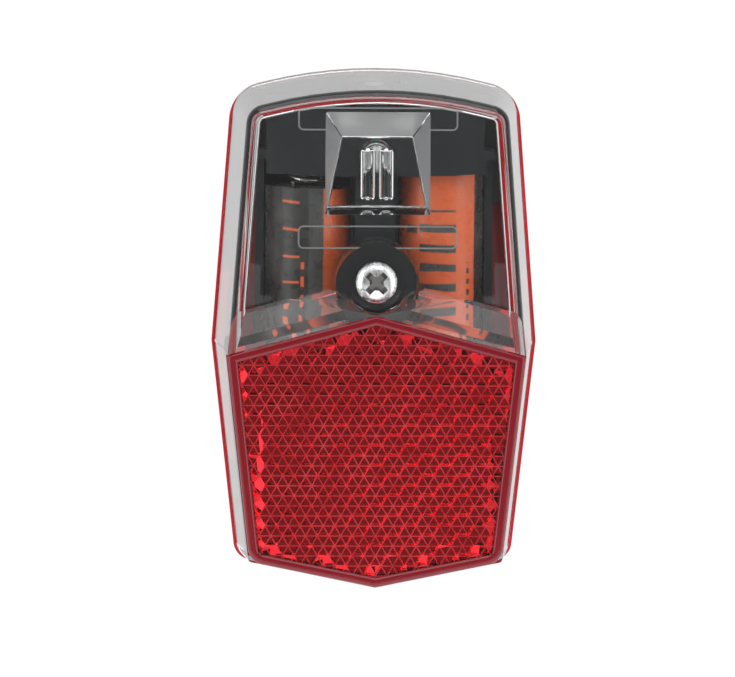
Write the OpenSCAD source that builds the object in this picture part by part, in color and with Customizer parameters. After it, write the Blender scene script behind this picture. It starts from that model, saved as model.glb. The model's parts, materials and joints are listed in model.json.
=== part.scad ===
// Bicycle rear light with a clear cover, a cube-corner reflector and two round cells.
// X points right as seen from behind the bicycle, Z points up, and the light faces minus Y.
// The origin is the centre of the mounting bolt hole, on the face that sits against the bicycle.
// A depth is a distance forward of that face, so depth 15 lies at Y = -15.

/* [Case outline] */
// Half of the width across the widest line
waist_half_w = 27.5; // [26.5:0.5:34]
// Height of the widest line above the mounting hole
waist_z = 10; // [7:0.5:13]
// Half of the width between the top shoulders, before they are rounded
crown_half_w = 24.2; // [23:0.2:28]
// Height of the top of the arch
crown_z = 56.7; // [56:0.1:66]
// Radius of the arched top
arch_r = 77; // [60:1:80]
// Slope of the arch where it meets the shoulders, in degrees
arch_slope = 14; // [11:0.5:15]
// Radius of the top shoulders
shoulder_r = 6; // [3:0.5:7]
// Half of the width between the bottom corners
foot_half_w = 23.4; // [22.4:0.2:27]
// Height of the bottom corners, which lie below the mounting hole
foot_z = -27.3; // [-34:0.1:-27]
// Drop from the bottom corners to the tip in the middle
tip_drop = 4.8; // [2:0.2:8]
// Radius of the bottom corners
foot_r = 3; // [1:0.5:5]
// Radius that softens the tip and the widest line
soft_r = 2; // [0.5:0.5:6]

/* [Case depths] */
// Height of the mounting pad behind the housing
pad_t = 1.5; // [1:0.1:3]
// Depth of the seam between housing and cover
seam_d = 15; // [14:0.5:18]
// Depth of the reflector's front edge
bezel_d = 38; // [36:0.5:46]
// How far the window stands in front of the reflector
window_step = 4; // [2:0.5:6]
// How far the cover's sides lean in between seam and reflector
cover_draft = 2.5; // [1:0.1:4]
// Width of the rounded edge round the window
window_edge = 1.1; // [0.5:0.1:2]
// How far the housing stands out past the cover at the seam
rim_step = 0.35; // [0:0.05:0.6]
// How far the housing's arched top is lowered, so that it hides behind the cover
crown_tuck = 0.5; // [0.3:0.05:0.6]
// How far the housing's sides lean in
housing_draft = 1.55; // [0.5:0.05:2]
// Width of the rounded edge round the housing's back
back_edge = 2; // [1:0.1:3]

/* [Walls] */
// Wall of the clear cover
cover_wall = 1.8; // [1.4:0.1:2.4]
// Wall of the housing
housing_wall = 2; // [1.8:0.1:2.4]
// Thinnest wall of the tray beside and behind a cell
tray_wall = 1.2; // [0.8:0.1:1.4]
// End walls, flanges and visor of the tray
tray_plate = 1.6; // [1.2:0.1:2]
// Wall of the tray's spine beside the board
spine_wall = 0.9; // [0.7:0.1:1.1]
// How far the tray's sides reach in front of the cell axes
side_reach = 1.5; // [0.5:0.1:3]
// How far the spine stays clear of the cradles
spine_clear = 0.6; // [0.4:0.1:0.8]
// Gap between the tray and what sits inside or in front of it
tray_gap = 0.2; // [0.1:0.05:0.3]

/* [Seam] */
// Gap between housing and cover
seam_gap = 0.1; // [0.05:0.05:0.3]
// Width of the gasket groove
groove_w = 0.8; // [0.6:0.05:0.9]
// Depth of the gasket groove
groove_depth = 0.8; // [0.5:0.1:1.5]
// Height of the ledge that carries the side tongues
ledge_h = 3; // [2:0.5:5]
// Height of the housing's side tongues above the seam
tongue_h = 5; // [2:0.5:8]
// Wall of the side tongues
tongue_t = 1.4; // [1:0.1:1.8]
// Gap between the tongues and the cover
tongue_gap = 0.25; // [0.15:0.05:0.5]
// Reach of the tongues above the widest line
tongue_up = 12; // [6:1:20]
// Reach of the tongues below the widest line
tongue_down = 20; // [8:1:22]

/* [Reflector] */
// Height of the reflector's peak
roof_z = 16.3; // [13:0.1:18]
// Slope of the reflector's top edges, in degrees
roof_slope = 15; // [8:0.5:20]
// Width of the raised frame
frame_w = 1.7; // [1.2:0.1:2.6]
// Height of the frame above the plate
frame_h = 0.8; // [0.4:0.1:1.2]
// Thickness of the plate
plate_t = 1; // [0.8:0.1:2]
// Side of one hexagonal cube-corner cell
cell_side = 1.95; // [1.6:0.05:3]
// Gap behind the tips of the cells
prism_gap = 0.4; // [0.2:0.1:1]
// Height at which the slope above the reflector meets the window
lip_z = 19.4; // [18.5:0.1:22]
// Half of the straight length of that edge
lip_half_w = 15; // [10:0.5:18]

/* [Cover screw] */
// Radius of the well over the screw
well_r = 4.7; // [4.2:0.1:5.2]
// Depth of the well below the window
well_depth = 9; // [7:0.5:11]
// Wall of the screw tower
tower_wall = 2.3; // [1.6:0.1:3]
// Thickness of the tower's floor under the screw
tower_floor = 3.2; // [2:0.2:5]
// Wall of clear plastic between the well and the reflector
well_margin = 0.5; // [0.3:0.1:1.5]
// Radius of the screw head
head_r = 3.5; // [3:0.1:3.8]
// Height of the screw head
head_h = 2.3; // [1.8:0.1:2.8]
// Radius of the screw thread
thread_r = 1.6; // [1.4:0.05:1.7]
// Width of the bevel round the screw head
head_edge = 0.7; // [0.3:0.1:1]
// Width of the arms of the screw's cross
slot_w = 1; // [0.8:0.1:1.2]
// Length of the arms of the screw's cross
slot_len = 4.2; // [3:0.1:4.8]
// Depth of the screw's cross
slot_depth = 1.4; // [1:0.1:1.6]
// Radius of the screw's tip
tip_r = 0.6; // [0.3:0.1:1]
// Length of the screw under its head
screw_len = 15; // [13:0.5:17]
// Radial gap round the thread in the post
thread_fit = 0.05; // [0.02:0.01:0.1]
// Radial gap round the thread in the cover
screw_gap = 0.4; // [0.2:0.1:0.8]
// Thickness of the sealing washer
seal_t = 0.8; // [0.5:0.1:1.2]

/* [Cells] */
// Diameter of a cell with its sleeve
cell_dia = 14.5; // [14:0.1:14.7]
// Length of a cell with its button
cell_len = 50.5; // [48.5:0.1:51]
// Diameter of a cell's button
nub_dia = 5.4; // [4.8:0.1:6]
// Height of a cell's button
nub_len = 1; // [0.8:0.1:1.6]
// Wall of the printed sleeve
sleeve_t = 0.15; // [0.1:0.05:0.3]
// Distance between the axes of the two cells
cell_pitch = 23; // [22.6:0.1:23.4]
// Gap round a cell in its cradle
cell_fit = 0.25; // [0.15:0.05:0.4]
// Height of the middle of the cell bay
bay_mid_z = 13.5; // [12.5:0.1:14.5]
// Length of a loaded contact spring
spring_len = 4.5; // [4:0.1:5]
// Thickness of the contact plates
contact_t = 0.35; // [0.2:0.05:0.5]
// Side of the contact plates
contact_w = 9; // [7:0.5:10]
// Width of the tails that join the contact plates to the board
tail_w = 2.6; // [1.6:0.2:4]

/* [Springs] */
// Radius of the spring wire
wire_r = 0.3; // [0.2:0.02:0.36]
// Turns of a contact spring
spring_turns = 3.5; // [2:0.5:4]
// Radius of the spring at its plate
spring_wide_r = 4.2; // [3.6:0.1:5]
// Radius of the spring at the cell
spring_narrow_r = 2.6; // [2:0.1:3.2]

/* [Lamp] */
// Height of the lamp above the top of the cell bay
lamp_rise = 1; // [0.5:0.1:2]
// Radius of the lamp
lamp_r = 2.5; // [2:0.1:2.6]
// Length of the lamp in front of its collar
lamp_len = 7.6; // [5:0.1:9]
// Width of the lamp's collar
lamp_collar = 0.4; // [0.3:0.05:0.5]
// Thickness of the lamp's collar
collar_t = 1; // [0.6:0.1:1.4]
// Thickness of the circuit board
board_t = 1.2; // [0.8:0.1:1.6]
// Length of the circuit board below the top of the cell bay
board_drop = 14; // [13:0.5:15]
// Side of the driver chip
driver_chip = 5; // [3:0.5:6]
// Side of the coil
coil_chip = 4; // [3:0.5:6]
// Height of the small parts
small_chip = 1.2; // [0.8:0.1:1.6]
// Height of the guide ribs that hold the circuit board
rib_t = 1.2; // [0.8:0.1:1.6]
// Length of the guide ribs
rib_len = 3; // [2:0.5:3.5]
// Half of the front width of the light-guide block
guide_half_w = 8.75; // [7:0.25:11]
// Lower edge of the light-guide block
guide_low_z = 33.3; // [32.4:0.1:36]
// Upper edge of the light-guide block
guide_high_z = 50.5; // [46:0.1:50.8]
// Length of the light-guide block
guide_len = 10; // [6:0.5:10.5]
// How far the block's top slopes down towards the lamp
guide_top_slope = 4.6; // [2:0.2:6]
// How far the block's sides close in towards the lamp
guide_side_slope = 2; // [1:0.2:3]
// Radius of the two flutes on the back of the block
flute_r = 1.3; // [0.8:0.1:1.6]
// Distance between the axes of the two flutes
flute_pitch = 3.1; // [2.8:0.1:4.4]

/* [Switch] */
// Radius of the button
button_r = 3.4; // [2.8:0.1:3.5]
// Gap round the button in the housing
button_gap = 0.25; // [0.15:0.05:0.4]
// How far the button lies below the housing's top
button_sink = 0.5; // [0.2:0.1:1]
// Travel of the button
button_travel = 0.7; // [0.4:0.1:0.8]
// Width of the button's flange
button_flange = 0.8; // [0.6:0.1:1]
// Thickness of the button's flange
flange_t = 0.8; // [0.6:0.1:1]
// Side of the switch
switch_w = 6; // [5:0.5:6.5]
// Height of the switch
switch_h = 3.5; // [3:0.1:4]
// Radius of the switch plunger
plunger_r = 1.5; // [1:0.1:1.8]
// Length of the plunger inside the switch
plunger_hold = 1.1; // [0.9:0.1:1.6]
// Gap between the button's flange and the housing
button_slack = 0.3; // [0.2:0.05:0.5]
// Distance between the button's flange and the rounded back of the housing
button_back = 0.3; // [0.1:0.1:0.8]
// Width of the bevel round the button's top
button_bevel = 0.6; // [0.3:0.1:1]

/* [Mounting] */
// Radius of the mounting bolt hole, for an M5 bolt
bolt_hole_r = 2.75; // [2.6:0.05:3]
// Height of the wall that the bolt clamps
clamp_wall = 3; // [2.5:0.1:3.4]
// Width of the nut across its flats
nut_flats = 8; // [7.5:0.1:8]
// Thickness of the nut
nut_t = 4; // [3:0.1:4.4]
// Radius of the nut's threaded hole
nut_thread_r = 2.1; // [2:0.05:2.2]
// Gap round the nut in its pocket
nut_gap = 0.15; // [0.1:0.05:0.3]
// Radius of the boss round the nut
boss_r = 6; // [5.8:0.1:6.2]
// Half of the width of the mounting pad
pad_half_w = 9; // [7:0.5:12]
// Distance between the centres of the pad's round ends
pad_span = 16; // [4:1:24]

/* [Tray screws] */
// Radius of a tray screw
tray_screw_r = 1.1; // [0.9:0.05:1.3]
// Radius of a tray screw's head
tray_head_r = 1.9; // [1.7:0.1:2.4]
// Height of a tray screw's head
tray_head_h = 1.3; // [1:0.1:1.6]
// Radius of the housing bosses for the tray screws
stud_r = 2.4; // [2.2:0.1:3]
// Height of those bosses above the housing's floor
stud_h = 3.5; // [3:0.1:4]
// Half of the distance between the upper tray screws
upper_screw_x = 13; // [11:0.5:14]
// Half of the distance between the lower tray screws
lower_screw_x = 10; // [6:0.5:12]
// Length of the tray's flanges beyond its end walls
flange_len = 7.5; // [6.5:0.1:8]
// Half of the width of the visor
visor_half_w = 18.5; // [14:0.5:19]
// How far the visor hangs in front of the cells
visor_drop = 2.5; // [1:0.1:4]
// Width of the tray's flanges outside the screw bosses
flange_rim = 1; // [0.5:0.1:1.5]
// Height of the lower end of the tray's side wings
wing_low_z = 33; // [30:0.5:38]

/* [Hidden] */

$fn = 48;
// Widest turn, in degrees, that one straight stretch of a rounded corner may make
arc_step = 6;
// Overlap that joins two solids, and reach of a cut past the face that it opens
join = 0.4;
// Thickness of the slices that a tapered form is drawn over
slice_t = 0.02;
// Gap between pieces that are seated against each other but stay apart
seat_gap = 0.05;
// Height of the cover's wall over its thickness, on the slope above the reflector
slope_share = 1.5;
// Share of the window's edge that is drawn in before it turns to the front
edge_share = 0.25;

// Heights of the outline's corners
apex_z = crown_z + arch_r * (1 / cos(arch_slope) - 1);
shoulder_z = apex_z - crown_half_w * tan(arch_slope);
far = 2 * waist_half_w;

// Depths of the case
front_d = bezel_d + window_step;
floor_d = pad_t + housing_wall;
boss_d = clamp_wall + nut_t + nut_gap;
rim_d = seam_d + seam_gap;
plate_d = bezel_d - frame_h;
seat_d = plate_d - plate_t;
cell_step = cell_side / sqrt(2);
prism_h = 2 * cell_step;
pocket_d = seat_d - prism_h - prism_gap;

// Gasket groove under the middle of the cover's wall, and pocket of the nut
groove_in = (cover_wall - groove_w) / 2;
nut_pocket_r = (nut_flats / 2 + nut_gap) / cos(30);

// Screw and tower, all on one axis
screw_z = roof_z + well_r + well_margin;
tower_r = well_r + tower_wall;
well_floor_d = front_d - well_depth;
tower_end_d = well_floor_d - tower_floor;
post_d = tower_end_d - seam_gap;
head_d = well_floor_d + seal_t + seat_gap;
screw_tip_d = head_d - screw_len;

// Cell bay
cell_r = cell_dia / 2;
can_r = cell_r - sleeve_t - seat_gap / 2;
cell_x = cell_pitch / 2;
cradle_r = cell_r + cell_fit;
cell_axis_d = floor_d + tray_wall + cradle_r;
bay_len = cell_len + spring_len;
top_z = bay_mid_z + bay_len / 2;
bottom_z = bay_mid_z - bay_len / 2;
tray_half_w = cell_x + cradle_r + tray_wall;
wall_top_z = top_z + contact_t;
wall_bottom_z = bottom_z - contact_t;
upper_z = wall_top_z + tray_plate;
lower_z = wall_bottom_z - tray_plate;
side_wall_d = cell_axis_d + side_reach;
spine_d = cell_axis_d + cradle_r;
spine_half_w = cell_x - cradle_r - spine_clear;
visor_d = spine_d + tray_gap;
visor_front_d = visor_d + tray_plate;
visor_z = upper_z + flange_len;
visor_low_z = wall_top_z - visor_drop;

// Lamp and board
lamp_z = top_z + lamp_rise;
collar_r = lamp_r + lamp_collar;
hollow_half_w = spine_half_w - spine_wall;
hollow_d = floor_d + tray_wall;
hollow_front_d = spine_d - spine_wall;
board_back_d = hollow_d + tray_gap;
board_front_d = hollow_front_d - tray_gap;
board_low_z = top_z - board_drop;
lamp_back_d = board_front_d + seat_gap;
lamp_tip_d = lamp_back_d + collar_t + lamp_len;

// Button chain, from the housing's top down to the board
button_d = floor_d + back_edge + button_r + button_flange + button_back;
housing_top_z = crown_z - crown_tuck;
button_top_z = housing_top_z - housing_inset(button_d) - button_sink;
button_under_z = housing_top_z - housing_inset(button_d - button_r - button_flange) - housing_wall - button_slack;
flange_low_z = button_under_z - flange_t;
switch_top_z = flange_low_z - button_travel - tray_gap;
board_top_z = switch_top_z - switch_h;
plunger_low_z = switch_top_z - plunger_hold;

// Tray screws
flange_d = floor_d + stud_h;
tray_screw_d = floor_d - housing_wall / 2 + tray_gap;
upper_screw_z = upper_z + flange_len / 2;
lower_screw_z = lower_z - flange_len / 2;
tray_screw_places = [
    [-upper_screw_x, upper_screw_z],
    [upper_screw_x, upper_screw_z],
    [-lower_screw_x, lower_screw_z],
    [lower_screw_x, lower_screw_z]];

// Inset of the housing's side and of the cover's side at a depth
function housing_inset(d) = -rim_step + housing_draft * (seam_d - d) / (seam_d - pad_t - back_edge);
function cover_inset(d) = cover_draft * (d - seam_d) / (bezel_d - seam_d);

// Points of a rounded corner, turning left from the line before it to the line after it
function unit(v) = v / norm(v);
function corner_arc(before, at, after) =
    let (
        corner = [at[0], at[1]],
        u = unit([before[0], before[1]] - corner),
        w = unit([after[0], after[1]] - corner),
        half = acos(u * w) / 2,
        centre = corner + unit(u + w) * at[2] / sin(half),
        foot = corner + u * at[2] / tan(half) - centre,
        start = atan2(foot[1], foot[0]),
        sweep = 180 - 2 * half,
        steps = max(2, ceil(sweep / arc_step)))
    [for (i = [0:steps]) centre + at[2] * [cos(start + sweep * i / steps), sin(start + sweep * i / steps)]];
function rounded(corners) =
    let (n = len(corners))
    [for (i = [0:n - 1]) each corner_arc(corners[(i + n - 1) % n], corners[i], corners[(i + 1) % n])];

// Corners of the case at the seam, each as X, Z and radius, turning left from the tip.
// A tuck lowers the arched top.
function corners(tuck) = [
    [0, foot_z - tip_drop, soft_r],
    [foot_half_w, foot_z, foot_r],
    [waist_half_w, waist_z, soft_r],
    [crown_half_w, shoulder_z - tuck, shoulder_r],
    [0, apex_z - tuck, arch_r],
    [-crown_half_w, shoulder_z - tuck, shoulder_r],
    [-waist_half_w, waist_z, soft_r],
    [-foot_half_w, foot_z, foot_r]];
case_corners = corners(0);
case_points = rounded(case_corners);
housing_points = rounded(corners(crown_tuck));

// Draws flat shapes in the X Z plane and lets them grow forward from a depth
module at_depth(d) {
    translate([0, -d, 0])
        rotate([90, 0, 0])
            children();
}

module plate_at(d, t) {
    at_depth(d)
        linear_extrude(t)
            children();
}

module pin(x, z, d, length, r) {
    translate([x, -d, z])
        rotate([90, 0, 0])
            cylinder(h = length, r = r);
}

// Block between two heights and two depths, centred across X unless it is shifted
module block(half_w, low_z, high_z, back, front, x = 0) {
    translate([x - half_w, -front, low_z])
        cube([2 * half_w, front - back, high_z - low_z]);
}

module case_outline(inset) {
    offset(delta = -inset)
        polygon(case_points);
}

module case_slice(d, inset) {
    plate_at(d - slice_t, slice_t)
        case_outline(inset);
}

module housing_outline(inset) {
    offset(delta = -inset)
        polygon(housing_points);
}

module housing_slice(d, inset) {
    plate_at(d - slice_t, slice_t)
        housing_outline(inset);
}

// Flat ring that follows the case between two insets
module case_ring(outer, inner) {
    difference() {
        case_outline(outer);
        case_outline(inner);
    }
}

module height_band(low_z, high_z) {
    translate([-far, low_z])
        square([2 * far, high_z - low_z]);
}

// Tapered form of the cover, drawn a wall thickness inside for the hollow
module cover_form(wall, start_d) {
    edge_d = front_d - window_edge;
    edge_in = cover_inset(edge_d) + window_edge * edge_share;
    hull() {
        case_slice(start_d + slice_t, cover_inset(start_d) + wall);
        case_slice(bezel_d - wall, cover_draft + wall);
        case_slice(edge_d - wall, edge_in + wall);
        case_slice(front_d - wall, edge_in + window_edge + wall);
    }
}

// Region under the reflector's two sloping top edges
module roof_region(raise) {
    side_z = roof_z + raise - far * tan(roof_slope);
    polygon([[-far, -far], [far, -far], [far, side_z], [0, roof_z + raise], [-far, side_z]]);
}

// Region under the window's lower edge
module lip_region(raise) {
    side_z = lip_z + raise - (far - lip_half_w) * tan(roof_slope);
    top = lip_z + raise;
    polygon([[-far, -far], [far, -far], [far, side_z], [lip_half_w, top], [-lip_half_w, top], [-far, side_z]]);
}

// Bay in front of the reflector, with the slope that rises from its top edges to the window
module reflector_bay(wall, back_d) {
    slope_wall = slope_share * wall;
    plate_at(back_d, far)
        roof_region(wall / cos(roof_slope));
    hull() {
        plate_at(bezel_d, slice_t)
            roof_region(slope_wall);
        plate_at(front_d, slice_t)
            lip_region(slope_wall);
    }
}

// Light-guide block behind the window, closing in towards the lamp
module light_guide() {
    back_d = front_d - cover_wall - guide_len;
    hull() {
        block(guide_half_w, guide_low_z, guide_high_z, front_d - cover_wall, front_d - cover_wall + join);
        block(guide_half_w - guide_side_slope, guide_low_z + guide_side_slope / 2,
            guide_high_z - guide_top_slope, back_d, back_d + slice_t);
    }
    for (side = [-1, 1])
        translate([side * flute_pitch / 2, -back_d, guide_low_z + guide_side_slope])
            cylinder(h = guide_high_z - guide_low_z - guide_top_slope - 2 * guide_side_slope, r = flute_r);
}

module cover_hollow() {
    difference() {
        cover_form(cover_wall, rim_d - join);
        reflector_bay(cover_wall, pocket_d - cover_wall);
        pin(0, screw_z, tower_end_d, front_d, tower_r);
        light_guide();
    }
}

// Outline of the reflector, flush with the cover's sides
module reflector_outline(inset) {
    intersection() {
        case_outline(cover_draft + inset);
        roof_region(-inset / cos(roof_slope));
    }
}

module clear_cover() color([0.92, 0.94, 0.95, 0.35]) {
    difference() {
        cover_form(0, rim_d);
        reflector_bay(0, seat_d);
        cover_hollow();
        plate_at(pocket_d, far)
            reflector_outline(frame_w);
        pin(0, screw_z, well_floor_d, far, well_r);
        pin(0, screw_z, tower_end_d - join, tower_floor + 2 * join, thread_r + screw_gap);
    }
}

// Cube-corner cells: centres on a honeycomb, kept where the whole hexagon lies inside the frame
cell_row = sqrt(3) * cell_side;
cell_column = 1.5 * cell_side;
function case_distance(p, i) =
    let (
        a = [case_corners[i][0], case_corners[i][1]],
        b = [case_corners[i + 1][0], case_corners[i + 1][1]],
        along = unit(b - a))
    along[0] * (p[1] - a[1]) - along[1] * (p[0] - a[0]);
function mirrored(p) = [abs(p[0]), p[1]];
function inside_window(p) =
    let (
        q = mirrored(p),
        reach = frame_w + cell_side,
        side = min(case_distance(q, 0), case_distance(q, 1)) - cover_draft,
        roof = (roof_z - q[0] * tan(roof_slope) - q[1]) * cos(roof_slope))
    min(side, roof) > reach;
columns = ceil(waist_half_w / cell_column);
rows = ceil((crown_z - foot_z) / cell_row);
function cell_centre(i, j) = [i * cell_column, roof_z - (j + abs(i % 2) / 2) * cell_row];
cell_centres = [for (i = [-columns:columns], j = [0:rows])
    let (p = cell_centre(i, j))
    if (inside_window(p)) p];

// Three faces of a cube meet at the middle of each cell, so the corners lie at three heights
function cell_corner(p, k) = p + cell_side * [cos(60 * k), sin(60 * k)];
function cell_surface(p) = concat(
    [[p[0], p[1], seat_d - prism_h]],
    [for (k = [0:5]) let (c = cell_corner(p, k)) [c[0], c[1], seat_d - (k % 2 == 0 ? cell_step : 0)]]);
function cell_base(p) = [for (k = [0:5]) let (c = cell_corner(p, k)) [c[0], c[1], seat_d + plate_t / 2]];
cell_stride = 13;
function cell_faces(p, first) = concat(
    [for (k = [0:2:4]) [first, first + 1 + k, first + 2 + k, first + 1 + (k + 2) % 6]],
    [[for (k = [5:-1:0]) first + 7 + k]],
    [for (k = [0:5])
        if (!inside_window(p + cell_row * [cos(60 * k + 30), sin(60 * k + 30)]))
            [first + 7 + k, first + 7 + (k + 1) % 6, first + 1 + (k + 1) % 6, first + 1 + k]]);

module cube_corner_sheet() {
    sheet_points = [for (p = cell_centres) each concat(cell_surface(p), cell_base(p))];
    sheet_faces = [for (i = [0:len(cell_centres) - 1]) each cell_faces(cell_centres[i], i * cell_stride)];
    rotate([90, 0, 0])
        polyhedron(sheet_points, sheet_faces);
}

module reflector() color([0.78, 0.05, 0.08]) {
    plate_at(seat_d, plate_t)
        reflector_outline(0);
    plate_at(plate_d - join, frame_h + join)
        difference() {
            reflector_outline(0);
            reflector_outline(frame_w);
        }
    cube_corner_sheet();
}

// Housing, hollow to the front
module housing_form(wall, front) {
    back = pad_t + wall;
    hull() {
        housing_slice(front + slice_t, housing_inset(front) + wall);
        housing_slice(back + back_edge, housing_inset(back + back_edge) + wall);
        housing_slice(back + slice_t, housing_inset(back) + back_edge + wall);
    }
}

module mounting_pad() {
    for (end = [-1, 1])
        pin(0, end * pad_span / 2, 0, pad_t + join, pad_half_w);
    block(pad_half_w, -pad_span / 2, pad_span / 2, 0, pad_t + join);
}

// Side tongues that locate the cover, on a ledge inside the rim
module side_tongues() {
    outer = cover_wall + cover_inset(seam_d + tongue_h) + tongue_gap;
    ledge_d = seam_d - ledge_h;
    plate_at(ledge_d, ledge_h + tongue_h)
        intersection() {
            case_ring(outer, outer + tongue_t);
            height_band(waist_z - tongue_down, waist_z + tongue_up);
        }
    plate_at(ledge_d, ledge_h - tongue_gap)
        intersection() {
            case_ring(housing_wall / 2, outer + tongue_t);
            height_band(waist_z - tongue_down, waist_z + tongue_up);
        }
}

module rear_housing() color([0.72, 0.06, 0.09]) {
    difference() {
        union() {
            difference() {
                housing_form(0, seam_d);
                housing_form(housing_wall, seam_d + join);
            }
            mounting_pad();
            pin(0, 0, pad_t + join, boss_d - pad_t - join, boss_r);
            for (place = tray_screw_places)
                pin(place[0], place[1], floor_d - join, stud_h + join, stud_r);
            side_tongues();
        }
        pin(0, 0, -join, clamp_wall + 2 * join, bolt_hole_r);
        translate([0, -clamp_wall, 0])
            rotate([90, 30, 0])
                cylinder(h = far, r = nut_pocket_r, $fn = 6);
        for (place = tray_screw_places)
            pin(place[0], place[1], tray_screw_d - tray_gap, far, tray_screw_r + thread_fit);
        plate_at(seam_d - groove_depth, groove_depth + join)
            case_ring(groove_in, groove_in + groove_w);
        translate([0, -button_d, button_top_z - far / 4])
            cylinder(h = far / 2, r = button_r + button_gap);
    }
}

module cover_gasket() color([0.75, 0.75, 0.77]) {
    plate_at(seam_d - groove_depth, groove_depth + seat_gap)
        case_ring(groove_in + seat_gap, groove_in + groove_w - seat_gap);
}

// Tray: cradles drawn as one section along the cells, with end walls, flanges, visor and screw post.
// Its back corners are bevelled to sit inside the housing's rounded back edge.
module tray_plan(front) {
    bevel_x = tray_half_w - back_edge;
    bevel_y = -floor_d - back_edge;
    polygon([
        [-bevel_x, -floor_d],
        [-tray_half_w, bevel_y],
        [-tray_half_w, -front],
        [tray_half_w, -front],
        [tray_half_w, bevel_y],
        [bevel_x, -floor_d]]);
}

module tray_section() {
    difference() {
        union() {
            tray_plan(side_wall_d);
            translate([-spine_half_w, -spine_d])
                square([2 * spine_half_w, spine_d - floor_d]);
        }
        for (side = [-1, 1])
            translate([side * cell_x, -cell_axis_d])
                circle(r = cradle_r);
    }
}

// Wings that close the space behind the window up to the housing's wall, with a gap for the button
module tray_wings() {
    inside = housing_inset(flange_d) + housing_wall + tray_gap;
    reach = tray_half_w - join;
    gap = button_r + button_flange + tray_gap;
    plate_at(flange_d, tray_plate)
        difference() {
            intersection() {
                housing_outline(inside);
                height_band(wing_low_z, crown_z);
            }
            translate([-reach, lower_z])
                square([2 * reach, upper_z - join - lower_z]);
            translate([-gap, upper_z])
                square([2 * gap, crown_z - upper_z]);
        }
}

module tray_walls() {
    translate([0, 0, wall_bottom_z - join])
        linear_extrude(wall_top_z - wall_bottom_z + 2 * join)
            tray_section();
    translate([0, 0, wall_top_z])
        linear_extrude(tray_plate)
            tray_plan(visor_front_d);
    translate([0, 0, lower_z])
        linear_extrude(tray_plate)
            tray_plan(spine_d);
    tray_wings();
    block(lower_screw_x + stud_r + flange_rim, lower_z - flange_len, lower_z + join, flange_d, flange_d + tray_plate);
    block(visor_half_w, visor_low_z, visor_z, visor_d, visor_front_d);
}

// Post for the cover screw: a core inside the spine and a wide head in front of the cells
module screw_post() {
    head_back_d = visor_d + tray_gap;
    core_d = cell_axis_d;
    pin(0, screw_z, core_d, post_d - core_d, spine_half_w - tray_gap);
    pin(0, screw_z, head_back_d, post_d - head_back_d, tower_r - tray_gap);
}

// Space for the board in the spine, less the guide ribs that hold its back edge
module board_space() {
    rib_half_w = (hollow_half_w - board_t / 2) / 2;
    rib_x = hollow_half_w - rib_half_w + tray_gap;
    difference() {
        union() {
            block(hollow_half_w, board_low_z - tray_gap, visor_z + join, hollow_d, hollow_front_d);
            block(switch_w / 2 + 2 * tray_gap, upper_z, visor_z + join, hollow_d, hollow_front_d);
        }
        for (z = [board_low_z, top_z - 2 * rib_t])
            for (side = [-1, 1])
                block(rib_half_w, z, z + rib_t, hollow_d - join, hollow_d + rib_len, side * rib_x);
    }
}

// Slot through the spine for a contact strip
module contact_space(half_w, low_z, high_z, width) {
    reach = width / 2 + tray_gap;
    block(half_w, low_z, high_z, cell_axis_d - reach, cell_axis_d + reach);
}

module battery_tray() color([0.07, 0.07, 0.08]) {
    difference() {
        union() {
            tray_walls();
            screw_post();
        }
        board_space();
        pin(0, lamp_z, hollow_front_d - join, 3 * tray_plate, collar_r + tray_gap);
        pin(0, screw_z, screw_tip_d - tray_plate, far, thread_r + thread_fit);
        pin(0, 0, floor_d - join, boss_d + tray_gap - floor_d + join, boss_r + tray_gap);
        pin(0, 0, floor_d, hollow_front_d - floor_d, bolt_hole_r);
        contact_space(cell_x, wall_bottom_z, bottom_z + contact_t, contact_w);
        contact_space(cell_x, top_z - contact_t, wall_top_z, tail_w);
        for (place = tray_screw_places)
            pin(place[0], place[1], flange_d - join, tray_plate + 2 * join, tray_screw_r + tray_gap);
    }
}

// Round cells with a button at one end
module cell_can() {
    cylinder(h = cell_len - nub_len, r = can_r);
    cylinder(h = cell_len, r = nub_dia / 2);
}

module cell_sleeve() {
    difference() {
        cylinder(h = cell_len - nub_len - sleeve_t, r = cell_r);
        translate([0, 0, -join])
            cylinder(h = cell_len, r = cell_r - sleeve_t);
    }
}

module place_right_cell() {
    translate([cell_x, -cell_axis_d, bottom_z + spring_len - seat_gap])
        children();
}

module place_left_cell() {
    translate([-cell_x, -cell_axis_d, top_z - spring_len + seat_gap])
        rotate([180, 0, 0])
            children();
}

module right_cell() color([0.72, 0.72, 0.74]) place_right_cell() cell_can();
module left_cell() color([0.72, 0.72, 0.74]) place_left_cell() cell_can();
module right_cell_sleeve() color([0.85, 0.38, 0.10]) place_right_cell() cell_sleeve();
module left_cell_sleeve() color([0.12, 0.11, 0.11]) place_left_cell() cell_sleeve();

// Contacts
module contact_plate(side) {
    block(contact_w / 2, top_z, wall_top_z, cell_axis_d - contact_w / 2, cell_axis_d + contact_w / 2,
        side * cell_x);
    tail_half = (cell_x - board_t / 2 - seat_gap) / 2;
    block(tail_half, top_z, wall_top_z, cell_axis_d - tail_w / 2, cell_axis_d + tail_w / 2,
        side * (cell_x - tail_half));
}

module positive_contact() color([0.80, 0.80, 0.78]) contact_plate(1);
module negative_contact() color([0.80, 0.80, 0.78]) contact_plate(-1);
module bridge_plate() color([0.80, 0.80, 0.78]) {
    block(cell_x + contact_w / 2, wall_bottom_z, bottom_z, cell_axis_d - contact_w / 2,
        cell_axis_d + contact_w / 2);
}

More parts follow.
